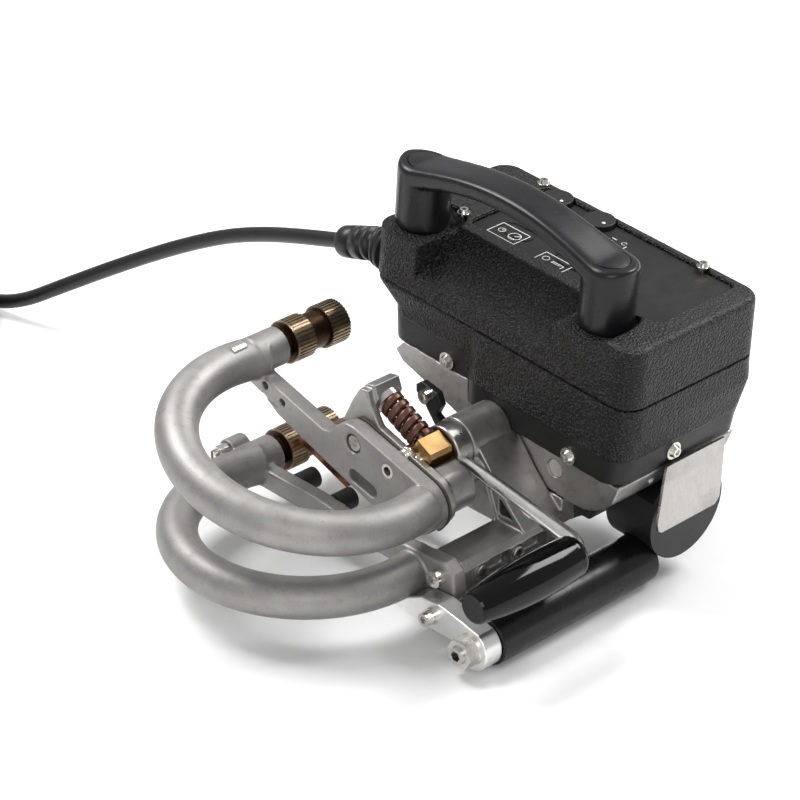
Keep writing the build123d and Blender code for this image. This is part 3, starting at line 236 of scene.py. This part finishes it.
def housing(name, lower):
    """Black moulded shell: coarse leather-like grain with a painted highlight on its pebble crests, smooth band at the
    foot, smoother top.
    """
    m, nt, b, co = new_mat(name)
    s4, c4 = sin(radians(4)), cos(radians(4))
    o = H_(0, 0, 0)
    v = math_(nt, "SUBTRACT", dot(nt, co, (s4, 0, c4)), o.x * s4 + o.z * c4)
    u = math_(nt, "SUBTRACT", dot(nt, co, (c4, 0, -s4)), o.x * c4 - o.z * s4)
    vor = nt.nodes.new("ShaderNodeTexVoronoi")
    vor.feature = "SMOOTH_F1"
    vor.inputs["Scale"].default_value = 720
    vor.inputs["Smoothness"].default_value = 0.15
    wob = noise(nt, co, 420, 3, 0.6)
    add = nt.nodes.new("ShaderNodeVectorMath")
    add.operation = "ADD"
    sc = nt.nodes.new("ShaderNodeVectorMath")
    sc.operation = "SCALE"
    sc.inputs["Scale"].default_value = 0.0016
    cmb = nt.nodes.new("ShaderNodeCombineXYZ")
    for i in range(3):
        nt.links.new(wob, cmb.inputs[i])
    nt.links.new(cmb.outputs[0], sc.inputs[0])
    nt.links.new(co, add.inputs[0])
    nt.links.new(sc.outputs[0], add.inputs[1])
    nt.links.new(add.outputs[0], vor.inputs["Vector"])
    peb = vor.outputs["Distance"]
    fine = noise(nt, co, 1900, 4, 0.7)
    if lower:
        left = math_(nt, "LESS_THAN", u, -0.0222)
        edge = math_(nt, "MULTIPLY_ADD", left, 0.012, 0.0145)
        mask = math_(nt, "MULTIPLY", math_(nt, "SUBTRACT", v, edge), 1400.0, clamp=True)
    else:
        mask = math_(nt, "MULTIPLY", math_(nt, "SUBTRACT", 0.0812, v), 1400.0, clamp=True)
        mask = math_(nt, "MAXIMUM", mask, 0.3)
    hgt = math_(nt, "MULTIPLY", math_(nt, "SUBTRACT", 1.0, peb), mask)
    hgt = math_(nt, "ADD", hgt, math_(nt, "MULTIPLY", fine, 0.12))
    bump(nt, b, hgt, 1.0, 0.0013)
    tone = noise(nt, co, 30, 4, 0.6)
    dark = ramp(nt, tone, [(0.3, (0.0035, 0.0033, 0.0033)), (0.7, (0.0065, 0.006, 0.0058))])
    # Pebble crests light grey over near-black: painted highlight of light catching the grain, set into the base colour.
    crest_highlight_and_wear = ramp(nt, peb, [(0.08, (0.085, 0.082, 0.08)), (0.36, (0.0018, 0.0017, 0.0017))])
    col = mixc(nt, math_(nt, "MULTIPLY", mask, 0.85), dark, crest_highlight_and_wear)
    nt.links.new(col, b.inputs["Base Color"])
    rr = ramp(nt, noise(nt, co, 420, 4, 0.7), [(0.3, 0.34), (0.7, 0.46)])
    nt.links.new(rr, b.inputs["Roughness"])
    b.inputs["Specular IOR Level"].default_value = 0.32
    return m


def radial(name, centre, r_lo, r_hi, groove, crest_highlight_and_wear, rough_g, rough_c):
    """Turned part worn bright on its crests and dull in its grooves, about an axis along Y."""
    m, nt, b, co = new_mat(name)
    sub = nt.nodes.new("ShaderNodeVectorMath")
    sub.operation = "SUBTRACT"
    nt.links.new(co, sub.inputs[0])
    sub.inputs[1].default_value = centre
    mul = nt.nodes.new("ShaderNodeVectorMath")
    mul.operation = "MULTIPLY"
    mul.inputs[1].default_value = (1, 0, 1)
    nt.links.new(sub.outputs[0], mul.inputs[0])
    ln = nt.nodes.new("ShaderNodeVectorMath")
    ln.operation = "LENGTH"
    nt.links.new(mul.outputs[0], ln.inputs[0])
    f = math_(nt, "DIVIDE", math_(nt, "SUBTRACT", ln.outputs["Value"], r_lo), r_hi - r_lo, clamp=True)
    blot = noise(nt, co, 160, 6, 0.7)
    f = math_(nt, "MULTIPLY", f, ramp(nt, blot, [(0.35, 0.45), (0.65, 1.0)]))
    g = ramp(nt, noise(nt, co, 330, 5, 0.7), [(0.3, tuple(x * 0.5 for x in groove)), (0.7, groove)])
    c = ramp(nt, noise(nt, co, 500, 5, 0.7), [(0.3, tuple(x * 0.75 for x in crest_highlight_and_wear)), (0.7, crest_highlight_and_wear)])
    nt.links.new(mixc(nt, f, g, c), b.inputs["Base Color"])
    rg = math_(nt, "MULTIPLY_ADD", f, rough_c - rough_g, rough_g)
    nt.links.new(rg, b.inputs["Roughness"])
    b.inputs["Metallic"].default_value = 0.95
    bump(nt, b, noise(nt, co, 1400, 3, 0.6), 0.2, 0.00006)
    return m


M = {}
M["shell_lo"] = housing("shell_lower_grain", True)
M["shell_up"] = housing("shell_upper_grain", False)
M["panel"] = plastic("panel_sheet", (0.0085, 0.0078, 0.0074), (0.0125, 0.0115, 0.011), 0.4, 1500, 0.1, spec=0.3)
M["dial"] = plastic("dial_moulded", (0.009, 0.0083, 0.008), (0.014, 0.013, 0.0122), 0.42, 1200, 0.15, spec=0.35)
M["handle"] = plastic("handle_satin", (0.0052, 0.0056, 0.0066), (0.0082, 0.0087, 0.010), 0.3, 1800, 0.1, 0.00003, 0.05, spec=0.36)
M["cap"] = plastic("cap_satin", (0.0046, 0.0048, 0.0056), (0.007, 0.0074, 0.0084), 0.34, 1800, 0.1, spec=0.34)
M["screw"] = metal("screw_nickel", (0.66, 0.63, 0.58), (0.8, 0.77, 0.72), 0.22, 1400, 0.05, 0.00002, dirt=0.3, big=240)
M["zinc"] = metal("zinc_plate", (0.64, 0.62, 0.58), (0.78, 0.755, 0.71), 0.3, 700, 0.03, 0.00001, dirt=0.2, big=120, rvar=0.04)
M["board"] = plastic("board_laminate", (0.01, 0.06, 0.025), (0.015, 0.09, 0.035), 0.4)
M["cast"] = metal("cast_alloy", (0.33, 0.32, 0.31), (0.45, 0.435, 0.42), 0.42, 1100, 0.3, 0.00006, 0.95, 34, dirt=0.42)
M["arm"] = metal("blasted_alloy", (0.29, 0.28, 0.272), (0.375, 0.362, 0.35), 0.54, 1100, 0.7, 0.00012, 0.88, 60, dirt=0.2, rvar=0.05)
M["arm_face"] = metal("milled_alloy", (0.36, 0.34, 0.315), (0.47, 0.445, 0.42), 0.36, 1200, 0.25, 0.00006, 0.95, 52, dirt=0.3)
M["bright"] = metal("milled_bright", (0.82, 0.82, 0.81), (0.9, 0.9, 0.89), 0.33, 300, 0.03, 0.00001, 1.0, 40, (1, 5, 1), 0.03, dirt=0.06)
M["sheet"] = metal("brushed_sheet", (0.40, 0.38, 0.365), (0.56, 0.54, 0.52), 0.28, 260, 0.1, 0.00002, 1.0, 12, (2, 22, 1.0), 0.05, dirt=0.25)
M["gear"] = plastic("gearbox_coat", (0.006, 0.006, 0.0065), (0.011, 0.011, 0.012), 0.42, 700, 0.3, spec=0.35)
M["motor"] = plastic("motor_coat", (0.009, 0.009, 0.0098), (0.014, 0.014, 0.0152), 0.36, 900, 0.15, spec=0.4)
M["steel"] = metal("turned_steel", (0.5, 0.485, 0.465), (0.62, 0.605, 0.585), 0.3, 700, 0.03, 0.00001, dirt=0.2, big=90, rvar=0.04)
M["froller"] = plastic("roller_coat", (0.003, 0.003, 0.0032), (0.006, 0.006, 0.0062), 0.3, 1500, 0.1, 0.00003, spec=0.3)
M["bush"] = plastic("bush_black", (0.01, 0.01, 0.01), (0.02, 0.02, 0.02), 0.5)
M["spacer"] = plastic("spacer_brown", (0.05, 0.036, 0.027), (0.085, 0.062, 0.047), 0.5)
M["spring"] = metal("spring_bluing", (0.11, 0.052, 0.036), (0.2, 0.1, 0.07), 0.36, 900, 0.08, 0.00003, 0.9, 150, dirt=0.5)
M["brass"] = metal("brass_block", (0.30, 0.185, 0.07), (0.40, 0.26, 0.11), 0.36, 700, 0.03, 0.00001, 1.0, 70, rvar=0.04, dirt=0.3)
M["chrome"] = metal("rod_chrome", (0.74, 0.73, 0.71), (0.83, 0.82, 0.80), 0.24, 700, 0.03, 0.00001, 1.0, 60, rvar=0.03, dirt=0.1)
M["grip"] = plastic("grip_polished", (0.0012, 0.0012, 0.0014), (0.002, 0.002, 0.0023), 0.1, 900, 0.02, 0.00002, 0.02, spec=0.24)
M["blacksteel"] = plastic("black_oxide", (0.006, 0.0057, 0.0054), (0.013, 0.012, 0.011), 0.36, 900, 0.2, spec=0.4)
M["copper"] = metal("copper_tarnish", (0.2, 0.085, 0.05), (0.42, 0.19, 0.115), 0.34, 700, 0.3, 0.00006, 0.95, 110, dirt=0.6)
M["guide"] = plastic("guide_rubber", (0.008, 0.008, 0.008), (0.016, 0.016, 0.016), 0.5)
M["rubber"] = plastic("gland_rubber", (0.0046, 0.0048, 0.0054), (0.0085, 0.0088, 0.0096), 0.4, 1300, 0.15, spec=0.38)
M["cord"] = plastic("cord_jacket", (0.0042, 0.0045, 0.0052), (0.0075, 0.008, 0.009), 0.36, 1200, 0.15, 0.00004, spec=0.4)
M["plug"] = plastic("plug_moulded", (0.005, 0.005, 0.0055), (0.009, 0.009, 0.0095), 0.4, spec=0.38)
ur = U_(-131.9, -65, 5.4)
M["uroll"] = radial("bronze_upper", tuple(ur), 0.0113, 0.0125, (0.07, 0.038, 0.02), (0.5, 0.39, 0.25), 0.42, 0.28)
lr = W(-10.5, -66, -4)
M["lroll"] = radial("bronze_lower", tuple(lr), 0.0113, 0.0125, (0.07, 0.038, 0.02), (0.5, 0.39, 0.25), 0.42, 0.28)

ASSIGN = {
    "lower_housing_shell": "shell_lo", "upper_housing_cover": "shell_up", "control_panel": "panel", "temperature_dial": "dial", "speed_dial": "dial",
    "carry_handle": "handle", "handle_caps": "cap", "handle_bolts": "screw", "housing_screws": "screw", "control_board": "board", "base_casting": "cast",
    "gearbox_housing": "gear", "drive_motor": "motor", "motor_end_cover": "motor", "motor_sheet_cover": "sheet", "clamp_frame": "cast", "beam_sleeves": "zinc",
    "lower_arm": "arm", "lower_arm_screws": "screw", "lower_adjuster": "zinc", "end_bracket": "bright", "roller_axle": "steel", "axle_nut": "zinc",
    "front_roller": "froller", "front_roller_bushes": "bush", "upper_arm": "arm", "upper_arm_screws": "screw", "threaded_insert": "zinc",
    "upper_set_screw": "zinc", "arm_spacer": "spacer", "rocker": "cast", "spring_seat_washer": "steel", "pressure_spring": "spring", "spring_rod": "steel",
    "brass_block": "brass", "brass_block_screw": "screw", "arm_pivot_pin": "steel", "upper_roller": "uroll", "lower_roller": "lroll",
    "upper_roller_shaft": "steel", "lower_roller_shaft": "steel", "lever_hub": "steel", "clamp_shaft": "steel", "hub_bush": "brass", "lever_rod": "chrome",
    "lever_grip": "grip", "cable_bracket": "blacksteel", "cable_bracket_screw": "screw", "hot_wedge": "copper", "heater_block": "copper", "heater_screw": "screw",
    "wedge_carrier": "blacksteel", "contour_roller_a": "guide", "contour_roller_b": "guide", "contour_pins": "steel", "drive_gear": "steel",
    "cable_gland": "rubber", "cord_plug": "plug", "power_cord": "cord", "cord_coil": "cord"}
for n, k in ASSIGN.items():
    o = N[n]
    o.data.materials.clear()
    o.data.materials.append(M[k])
cord.data.materials.append(M["cord"])


# ------------------------------------------------------------------ finishing of the CAD pieces: cast parts softened, machined parts with small edge breaks
def shade(o, angle=35):
    for p in o.data.polygons:
        p.use_smooth = True
    ok = False
    try:
        with bpy.context.temp_override(object=o, active_object=o, selected_objects=[o], selected_editable_objects=[o]):
            bpy.ops.object.shade_auto_smooth(angle=radians(angle))
            ok = True
    except Exception:
        ok = False
    return ok


def soften(name, voxel, it, fac=0.5):
    o = N[name]
    r = o.modifiers.new("cast_mesh", "REMESH")
    r.mode = "VOXEL"
    r.voxel_size = voxel * 1.0
    r.use_smooth_shade = True
    s = o.modifiers.new("cast_soften", "SMOOTH")
    s.factor = fac
    s.iterations = it


def edge_break(name, w, angle=40, seg=2):
    o = N[name]
    b = o.modifiers.new("edge_break", "BEVEL")
    b.width = w
    b.segments = seg
    b.limit_method = "ANGLE"
    b.angle_limit = radians(angle)
    b.harden_normals = False
    b.use_clamp_overlap = True


SOFT = {"upper_housing_cover": (0.0008, 4), "lower_arm": (0.0008, 4), "upper_arm": (0.0007, 3), "base_casting": (0.0009, 5),
        "clamp_frame": (0.0006, 3), "rocker": (0.0006, 3), "lower_housing_shell": (0.0008, 2), "cable_bracket": (0.0005, 3)}
for n, (vx, it) in SOFT.items():
    soften(n, vx, it)
BREAK = {"end_bracket": 0.0005, "brass_block": 0.0004, "axle_nut": 0.0004, "lever_hub": 0.0004, "hot_wedge": 0.0002, "heater_block": 0.0006,
         "motor_sheet_cover": 0.0002, "wedge_carrier": 0.0004, "control_panel": 0.0003, "gearbox_housing": 0.0006, "spring_seat_washer": 0.0003,
         "threaded_insert": 0.0003, "upper_set_screw": 0.0003, "lower_adjuster": 0.0003, "arm_spacer": 0.0002, "cord_plug": 0.0008,
         "roller_axle": 0.0003, "hub_bush": 0.0003}
for n, w in BREAK.items():
    edge_break(n, w)
for n, o in N.items():
    if n not in SOFT:
        shade(o, 32)


# ------------------------------------------------------------------ helpers for new pieces
def mesh_piece(name, verts, faces, mat, body, smooth=True, replaces=(), slot=None):
    me = bpy.data.meshes.new(name)
    me.from_pydata([tuple(v) for v in verts], [], faces)
    me.validate()
    me.update()
    bm = bmesh.new()
    bm.from_mesh(me)
    bmesh.ops.recalc_face_normals(bm, faces=bm.faces)
    bm.to_mesh(me)
    bm.free()
    o = bpy.data.objects.new(name, me)
    bpy.context.scene.collection.objects.link(o)
    me.materials.append(mat)
    for p in me.polygons:
        p.use_smooth = smooth
    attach(o, body)
    if replaces:
        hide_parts(*replaces)
    return o


def lathe(name, origin, axis, profile, mat, body, seg=64, **kw):
    """profile: list of (distance along axis, radius) in mm; closed on the axis at both ends where radius is 0."""
    axis = Vector(axis).normalized()
    a = axis.orthogonal().normalized()
    b = axis.cross(a)
    vs, fs, rings = [], [], []
    for d, r in profile:
        if r <= 1e-6:
            rings.append([len(vs)])
            vs.append(origin + axis * d / 1000)
        else:
            rings.append(list(range(len(vs), len(vs) + seg)))
            for i in range(seg):
                t = 2 * pi * i / seg
                vs.append(origin + axis * d / 1000 + (a * cos(t) + b * sin(t)) * r / 1000)
    for r0, r1 in zip(rings, rings[1:]):
        for i in range(seg):
            j = (i + 1) % seg
            if len(r0) == 1 and len(r1) == 1:
                continue
            if len(r0) == 1:
                fs.append((r0[0], r1[i], r1[j]))
            elif len(r1) == 1:
                fs.append((r0[i], r1[0], r0[j]))
            else:
                fs.append((r0[i], r1[i], r1[j], r0[j]))
    return mesh_piece(name, vs, fs, mat, body, **kw)


# ---- pressure spring: rectangular wire wound as a real helix
def sweep_rect(name, path, frames, w, h, mat, body, **kw):
    vs, fs = [], []
    for p, (x, y) in zip(path, frames):
        for sx, sy in ((-1, -1), (-0.72, -1.0), (0.72, -1.0), (1, -0.7), (1, 0.7), (0.72, 1.0), (-0.72, 1.0), (-1, 0.7)):
            vs.append(p + x * (sx * w / 2000) + y * (sy * h / 2000))
    k = 8
    for i in range(len(path) - 1):
        for j in range(k):
            fs.append((i * k + j, i * k + (j + 1) % k, (i + 1) * k + (j + 1) % k, (i + 1) * k + j))
    fs.append(tuple(range(k)))
    fs.append(tuple(range((len(path) - 1) * k, len(path) * k)))
    return mesh_piece(name, vs, fs, mat, body, **kw)


sx = (S_(1, 0, 0) - S_(0, 0, 0)).normalized()
sz = (S_(0, 0, 1) - S_(0, 0, 0)).normalized()
sy = Vector((0, 1, 0))
path, frs = [], []
nt_, R_, L_ = 5.3, 5.85, 29.2
steps = int(nt_ * 40)
for i in range(steps + 1):
    t = i / steps
    a = 2 * pi * nt_ * t
    e = t
    if t < 0.12:
        e = 0.12 * (t / 0.12) ** 1.7 * 0.72 + 0.0
    elif t > 0.88:
        e = 1 - 0.12 * ((1 - t) / 0.12) ** 1.7 * 0.72
    else:
        e = 0.0864 + (t - 0.12) / 0.76 * (1 - 2 * 0.0864)
    c = S_(1.6 + e * (L_ - 3.0), -82.5, 0)
    rad = sy * cos(a) + sz * sin(a)
    path.append(c + rad * R_ / 1000)
    frs.append((sx, rad))
spring = sweep_rect("spring_coil", path, frs, 3.9, 2.9, M["spring"], "upper_arm_group", replaces=("pressure_spring",), slot="spring_steel")
bv = spring.modifiers.new("edge_break", "BEVEL")
bv.width = 0.00025
bv.segments = 2

# ---- washer face and hex recess ring of the block's clamping screw, bright raised boss
bs = S_(30.5, -95.5, -3.4)
lathe("block_screw_head", bs, (0.0, -1.0, 0.0), [(-3.5, 0), (-3.5, 4.6), (0.0, 4.6), (0.35, 4.3), (0.4, 3.6), (2.3, 3.5), (2.7, 3.1), (2.7, 1.6), (1.2, 1.5), (1.2, 0)], M["screw"], "upper_arm_group", seg=36, slot="screw_steel")

# ---- gland: threaded nut with rings and a ribbed boot that follows the cord
gb = H_(-95.5, -18.0, 53.5)
gd = (H_(-96.5, 0, 0) - H_(-95.5, 0, 0)).normalized()
lathe("gland_nut", gb, gd, [(-7, 0), (-7, 9.8), (0, 9.8), (0.1, 13.2), (0.6, 13.6), (2.6, 13.6), (3.0, 12.4), (3.8, 12.4), (4.2, 13.4), (5.8, 13.2), (6.2, 10.6), (6.2, 0)], M["rubber"], "chassis",
      replaces=("cable_gland",), slot="gland_rubber")
g1 = H_(-101.5, -18.0, 53.5)
gax = (GT - g1)
gl = gax.length * 1000
prof = [(-1.0, 0), (-1.0, 10.4), (2.4, 10.2), (3.0, 7.4), (8.0, 7.2), (8.4, 9.6), (8.8, 9.9), (11.4, 9.9), (11.8, 9.5), (12.1, 7.2), (14.9, 7.2), (15.2, 9.4), (15.7, 9.7),
        (21.6, 9.6), (21.8, 9.2), (22.3, 9.2), (22.5, 9.55), (gl - 1.1, 9.1), (gl - 0.3, 8.7), (gl, 7.9), (gl, 5.2), (gl - 0.8, 4.9), (gl - 0.8, 0)]
lathe("gland_boot", g1, gax, prof, M["rubber"], "chassis", slot="gland_rubber")

# ---- carrying grip: arched bar that widens into the two posts, caps let in flush
def grip_mesh():
    vs, fs = [], []
    u0, u1, yc = -78.5, 58.0, -14.0
    top = 114.15
    um, us = (u0 + u1) / 2, (u1 - u0) / 2
    stations = [u0 - 15 * sin(radians(q)) for q in range(88, 0, -8)] + [u0 + (u1 - u0) * i / 60 for i in range(61)] + [u1 + 15 * sin(radians(q)) for q in range(8, 89, 8)]
    k = 40
    for u in stations:
        t = (u - um) / us
        x = max(0.0, abs(u - um) - us)
        w = 2 * sqrt(max(0.2, 225 - x * x)) if x > 0 else 24.4 + 5.6 * abs(t) ** 2.4
        tt = min(1.0, abs(t))
        h = 10.6 + 3.0 * tt ** 3
        vt = top + 10.6 * (1 - tt * tt) ** 1.25
        for j in range(k):
            a = 2 * pi * j / k
            ca, sa = cos(a), sin(a)
            y = math.copysign(abs(ca) ** 0.42, ca) * w / 2
            z = math.copysign(abs(sa) ** 0.5, sa) * h / 2
            vs.append(H_(u, yc + y, vt - h / 2 + z))
    ns = len(stations) - 1
    for i in range(ns):
        for j in range(k):
            fs.append((i * k + j, i * k + (j + 1) % k, (i + 1) * k + (j + 1) % k, (i + 1) * k + j))
    fs += [tuple(range(k)), tuple(range(ns * k, ns * k + k))]
    for uc in (u0, u1):
        b = len(vs)
        q = 72
        for v in (76.6, top - 5.0):
            for j in range(q):
                a = 2 * pi * j / q
                vs.append(H_(uc + 15 * cos(a), yc + 15 * sin(a), v))
        for j in range(q):
            fs.append((b + j, b + (j + 1) % q, b + q + (j + 1) % q, b + q + j))
        fs += [tuple(b + j for j in range(q)), tuple(b + q + j for j in range(q))]
    return vs, fs


gv, gf = grip_mesh()
grip = mesh_piece("grip_bar", gv, gf, M["handle"], "chassis", replaces=("carry_handle",), slot="handle_plastic")
r_ = grip.modifiers.new("moulded", "REMESH")
r_.mode = "VOXEL"
r_.voxel_size = 0.0007
r_.use_smooth_shade = True
s_ = grip.modifiers.new("soften", "SMOOTH")
s_.factor = 0.5
s_.iterations = 10
# Near-black, unreflecting ring under each cap: painted shade of the gap between cap and handle.
painted_shade, mnt, mb, mco = new_mat("gap_painted_shade")
mn = noise(mnt, mco, 700, 4, 0.6)
mnt.links.new(ramp(mnt, mn, [(0.3, (0.001, 0.001, 0.001)), (0.7, (0.002, 0.002, 0.002))]), mb.inputs["Base Color"])
mnt.links.new(ramp(mnt, mn, [(0.3, 0.8), (0.7, 0.95)]), mb.inputs["Roughness"])
mb.inputs["Specular IOR Level"].default_value = 0.1
for i, (nm, u) in enumerate((("cap_rear", -78.5), ("cap_front", 58.0))):
    up_ = H_(0, 0, 1) - H_(0, 0, 0)
    # ring of painted shade standing in for the shadowed gap around the cap
    lathe(nm + "_gap", H_(u, -14.0, 113.0), up_, [(0, 0), (0, 9.95), (1.12, 9.95), (1.13, 9.4), (1.13, 0)], painted_shade, "chassis", seg=72, slot="handle_plastic")
    lathe(nm, H_(u, -14.0, 113.1), up_, [(0, 0), (0, 9.45), (0.98, 9.45), (1.1, 9.2), (1.12, 0)], M["cap"], "chassis", seg=72, slot="handle_plastic", replaces=("handle_caps",) if i == 0 else ())

# ---- dial marks and generic panel marks
white, wnt, wb, wco = new_mat("mark_white")
wn = noise(wnt, wco, 900, 4, 0.6)
wnt.links.new(ramp(wnt, wn, [(0.3, (0.62, 0.62, 0.6)), (0.7, (0.85, 0.85, 0.83))]), wb.inputs["Base Color"])
wnt.links.new(ramp(wnt, wn, [(0.3, 0.4), (0.7, 0.6)]), wb.inputs["Roughness"])
hz = (H_(0, 0, 1) - H_(0, 0, 0)).normalized()
for nm, u, body in (("temperature_mark", -44.7, "temperature_dial_body"), ("speed_mark", -13.1, "speed_dial_body")):
    lathe(nm, H_(u + 4.5, 54.5, 81.9), hz, [(0, 0), (0, 1.05), (0.55, 1.05), (0.72, 0.8), (0.72, 0)], white, body, seg=24, slot="dial_plastic")


def strokes(name, lines, v, w, h, mat, body):
    """thin raised printed lines on the panel plane; lines are lists of (u, y)"""
    vs, fs = [], []
    for ln in lines:
        for (u0, y0), (u1, y1) in zip(ln, ln[1:]):
            d = Vector((u1 - u0, y1 - y0))
            if d.length < 1e-6:
                continue
            d.normalize()
            n = Vector((-d.y, d.x)) * w / 2
            e = d * w * 0.35
            q = [(u0 - e.x + n.x, y0 - e.y + n.y), (u0 - e.x - n.x, y0 - e.y - n.y), (u1 + e.x - n.x, y1 + e.y - n.y), (u1 + e.x + n.x, y1 + e.y + n.y)]
            b = len(vs)
            vs += [H_(a, c, v) for a, c in q] + [H_(a, c, v + h) for a, c in q]
            fs += [(b, b + 3, b + 2, b + 1), (b + 4, b + 5, b + 6, b + 7)] + [(b + i, b + (i + 1) % 4, b + 4 + (i + 1) % 4, b + 4 + i) for i in range(4)]
    return mesh_piece(name, vs, fs, mat, body, smooth=False, slot="panel_plastic")


def circ(u, y, r, a0=0, a1=360, n=20):
    return [(u + r * cos(radians(a0 + (a1 - a0) * i / n)), y + r * sin(radians(a0 + (a1 - a0) * i / n))) for i in range(n + 1)]


def rectl(u0, y0, u1, y1):
    return [(u0, y0), (u1, y0), (u1, y1), (u0, y1), (u0, y0)]


PM = 79.6
marks = [rectl(-46, 3, -26, 16), rectl(-9, 1, 11, 11)]
marks += [circ(-31.5, 9.5, 3.6, 0, 360), [(-31.5, 9.5), (-29.4, 11.8)], [(-34, 7), (-29, 7)], circ(-41, 9.5, 2.0), [(-41, 9.5), (-39.6, 10.6)], circ(-4.6, 6, 2.0, 60, 390), [(0, 6.4), (8, 6.4)], [(0, 5.2), (6, 5.2)], [(8, 6.4), (8, 3.4)]]
marks += [circ(4, 46, 1.6), circ(11, 50, 1.4, 40, 320), circ(10, 44.5, 1.2), [(2.5, 50), (5.5, 50)], [(14, 46), (14, 48.5)]]
strokes("panel_marks", marks, PM, 0.45, 0.12, white, "chassis")

# ------------------------------------------------------------------ floor, lights, world
fm, fnt, fb, fco = new_mat("floor_paper")
fn = noise(fnt, fco, 60, 5, 0.6)
fnt.links.new(ramp(fnt, fn, [(0.3, (0.86, 0.86, 0.86)), (0.7, (0.88, 0.88, 0.88))]), fb.inputs["Base Color"])
fb.inputs["Roughness"].default_value = 0.9
me = bpy.data.meshes.new("floor")
me.from_pydata([(-6, -6, 0), (6, -6, 0), (6, 6, 0), (-6, 6, 0)], [], [(0, 1, 2, 3)])
floor = bpy.data.objects.new("floor", me)
bpy.context.scene.collection.objects.link(floor)
me.materials.append(fm)

world = bpy.data.worlds.new("studio")
bpy.context.scene.world = world
world.use_nodes = True
wn_ = world.node_tree
for n in list(wn_.nodes):
    wn_.nodes.remove(n)
wo = wn_.nodes.new("ShaderNodeOutputWorld")
bg = wn_.nodes.new("ShaderNodeBackground")
bg.inputs[0].default_value = (1.0, 1.0, 1.0, 1)
bg.inputs[1].default_value = 0.5
wn_.links.new(bg.outputs[0], wo.inputs[0])


def area(name, pos, target, size, power, sy_=None):
    d = bpy.data.lights.new(name, "AREA")
    d.energy = power
    d.size = size
    if sy_:
        d.shape = "RECTANGLE"
        d.size_y = sy_
    o = bpy.data.objects.new(name, d)
    bpy.context.scene.collection.objects.link(o)
    o.location = pos
    o.rotation_euler = (Vector(target) - Vector(pos)).to_track_quat("-Z", "Y").to_euler()
    return o


area("key", (-0.85, -0.25, 1.45), (0, 0, 0.08), 0.7, 23)
area("fill", (1.2, -1.3, 1.0), (0, 0, 0.08), 0.8, 8, 0.8)
area("top", (0.25, 1.0, 1.2), (0, 0.05, 0.1), 0.9, 20, 0.5)

sc_ = bpy.context.scene
sc_.view_settings.view_transform = "Standard"
sc_.view_settings.look = "None"
sc_.view_settings.exposure = 0.0
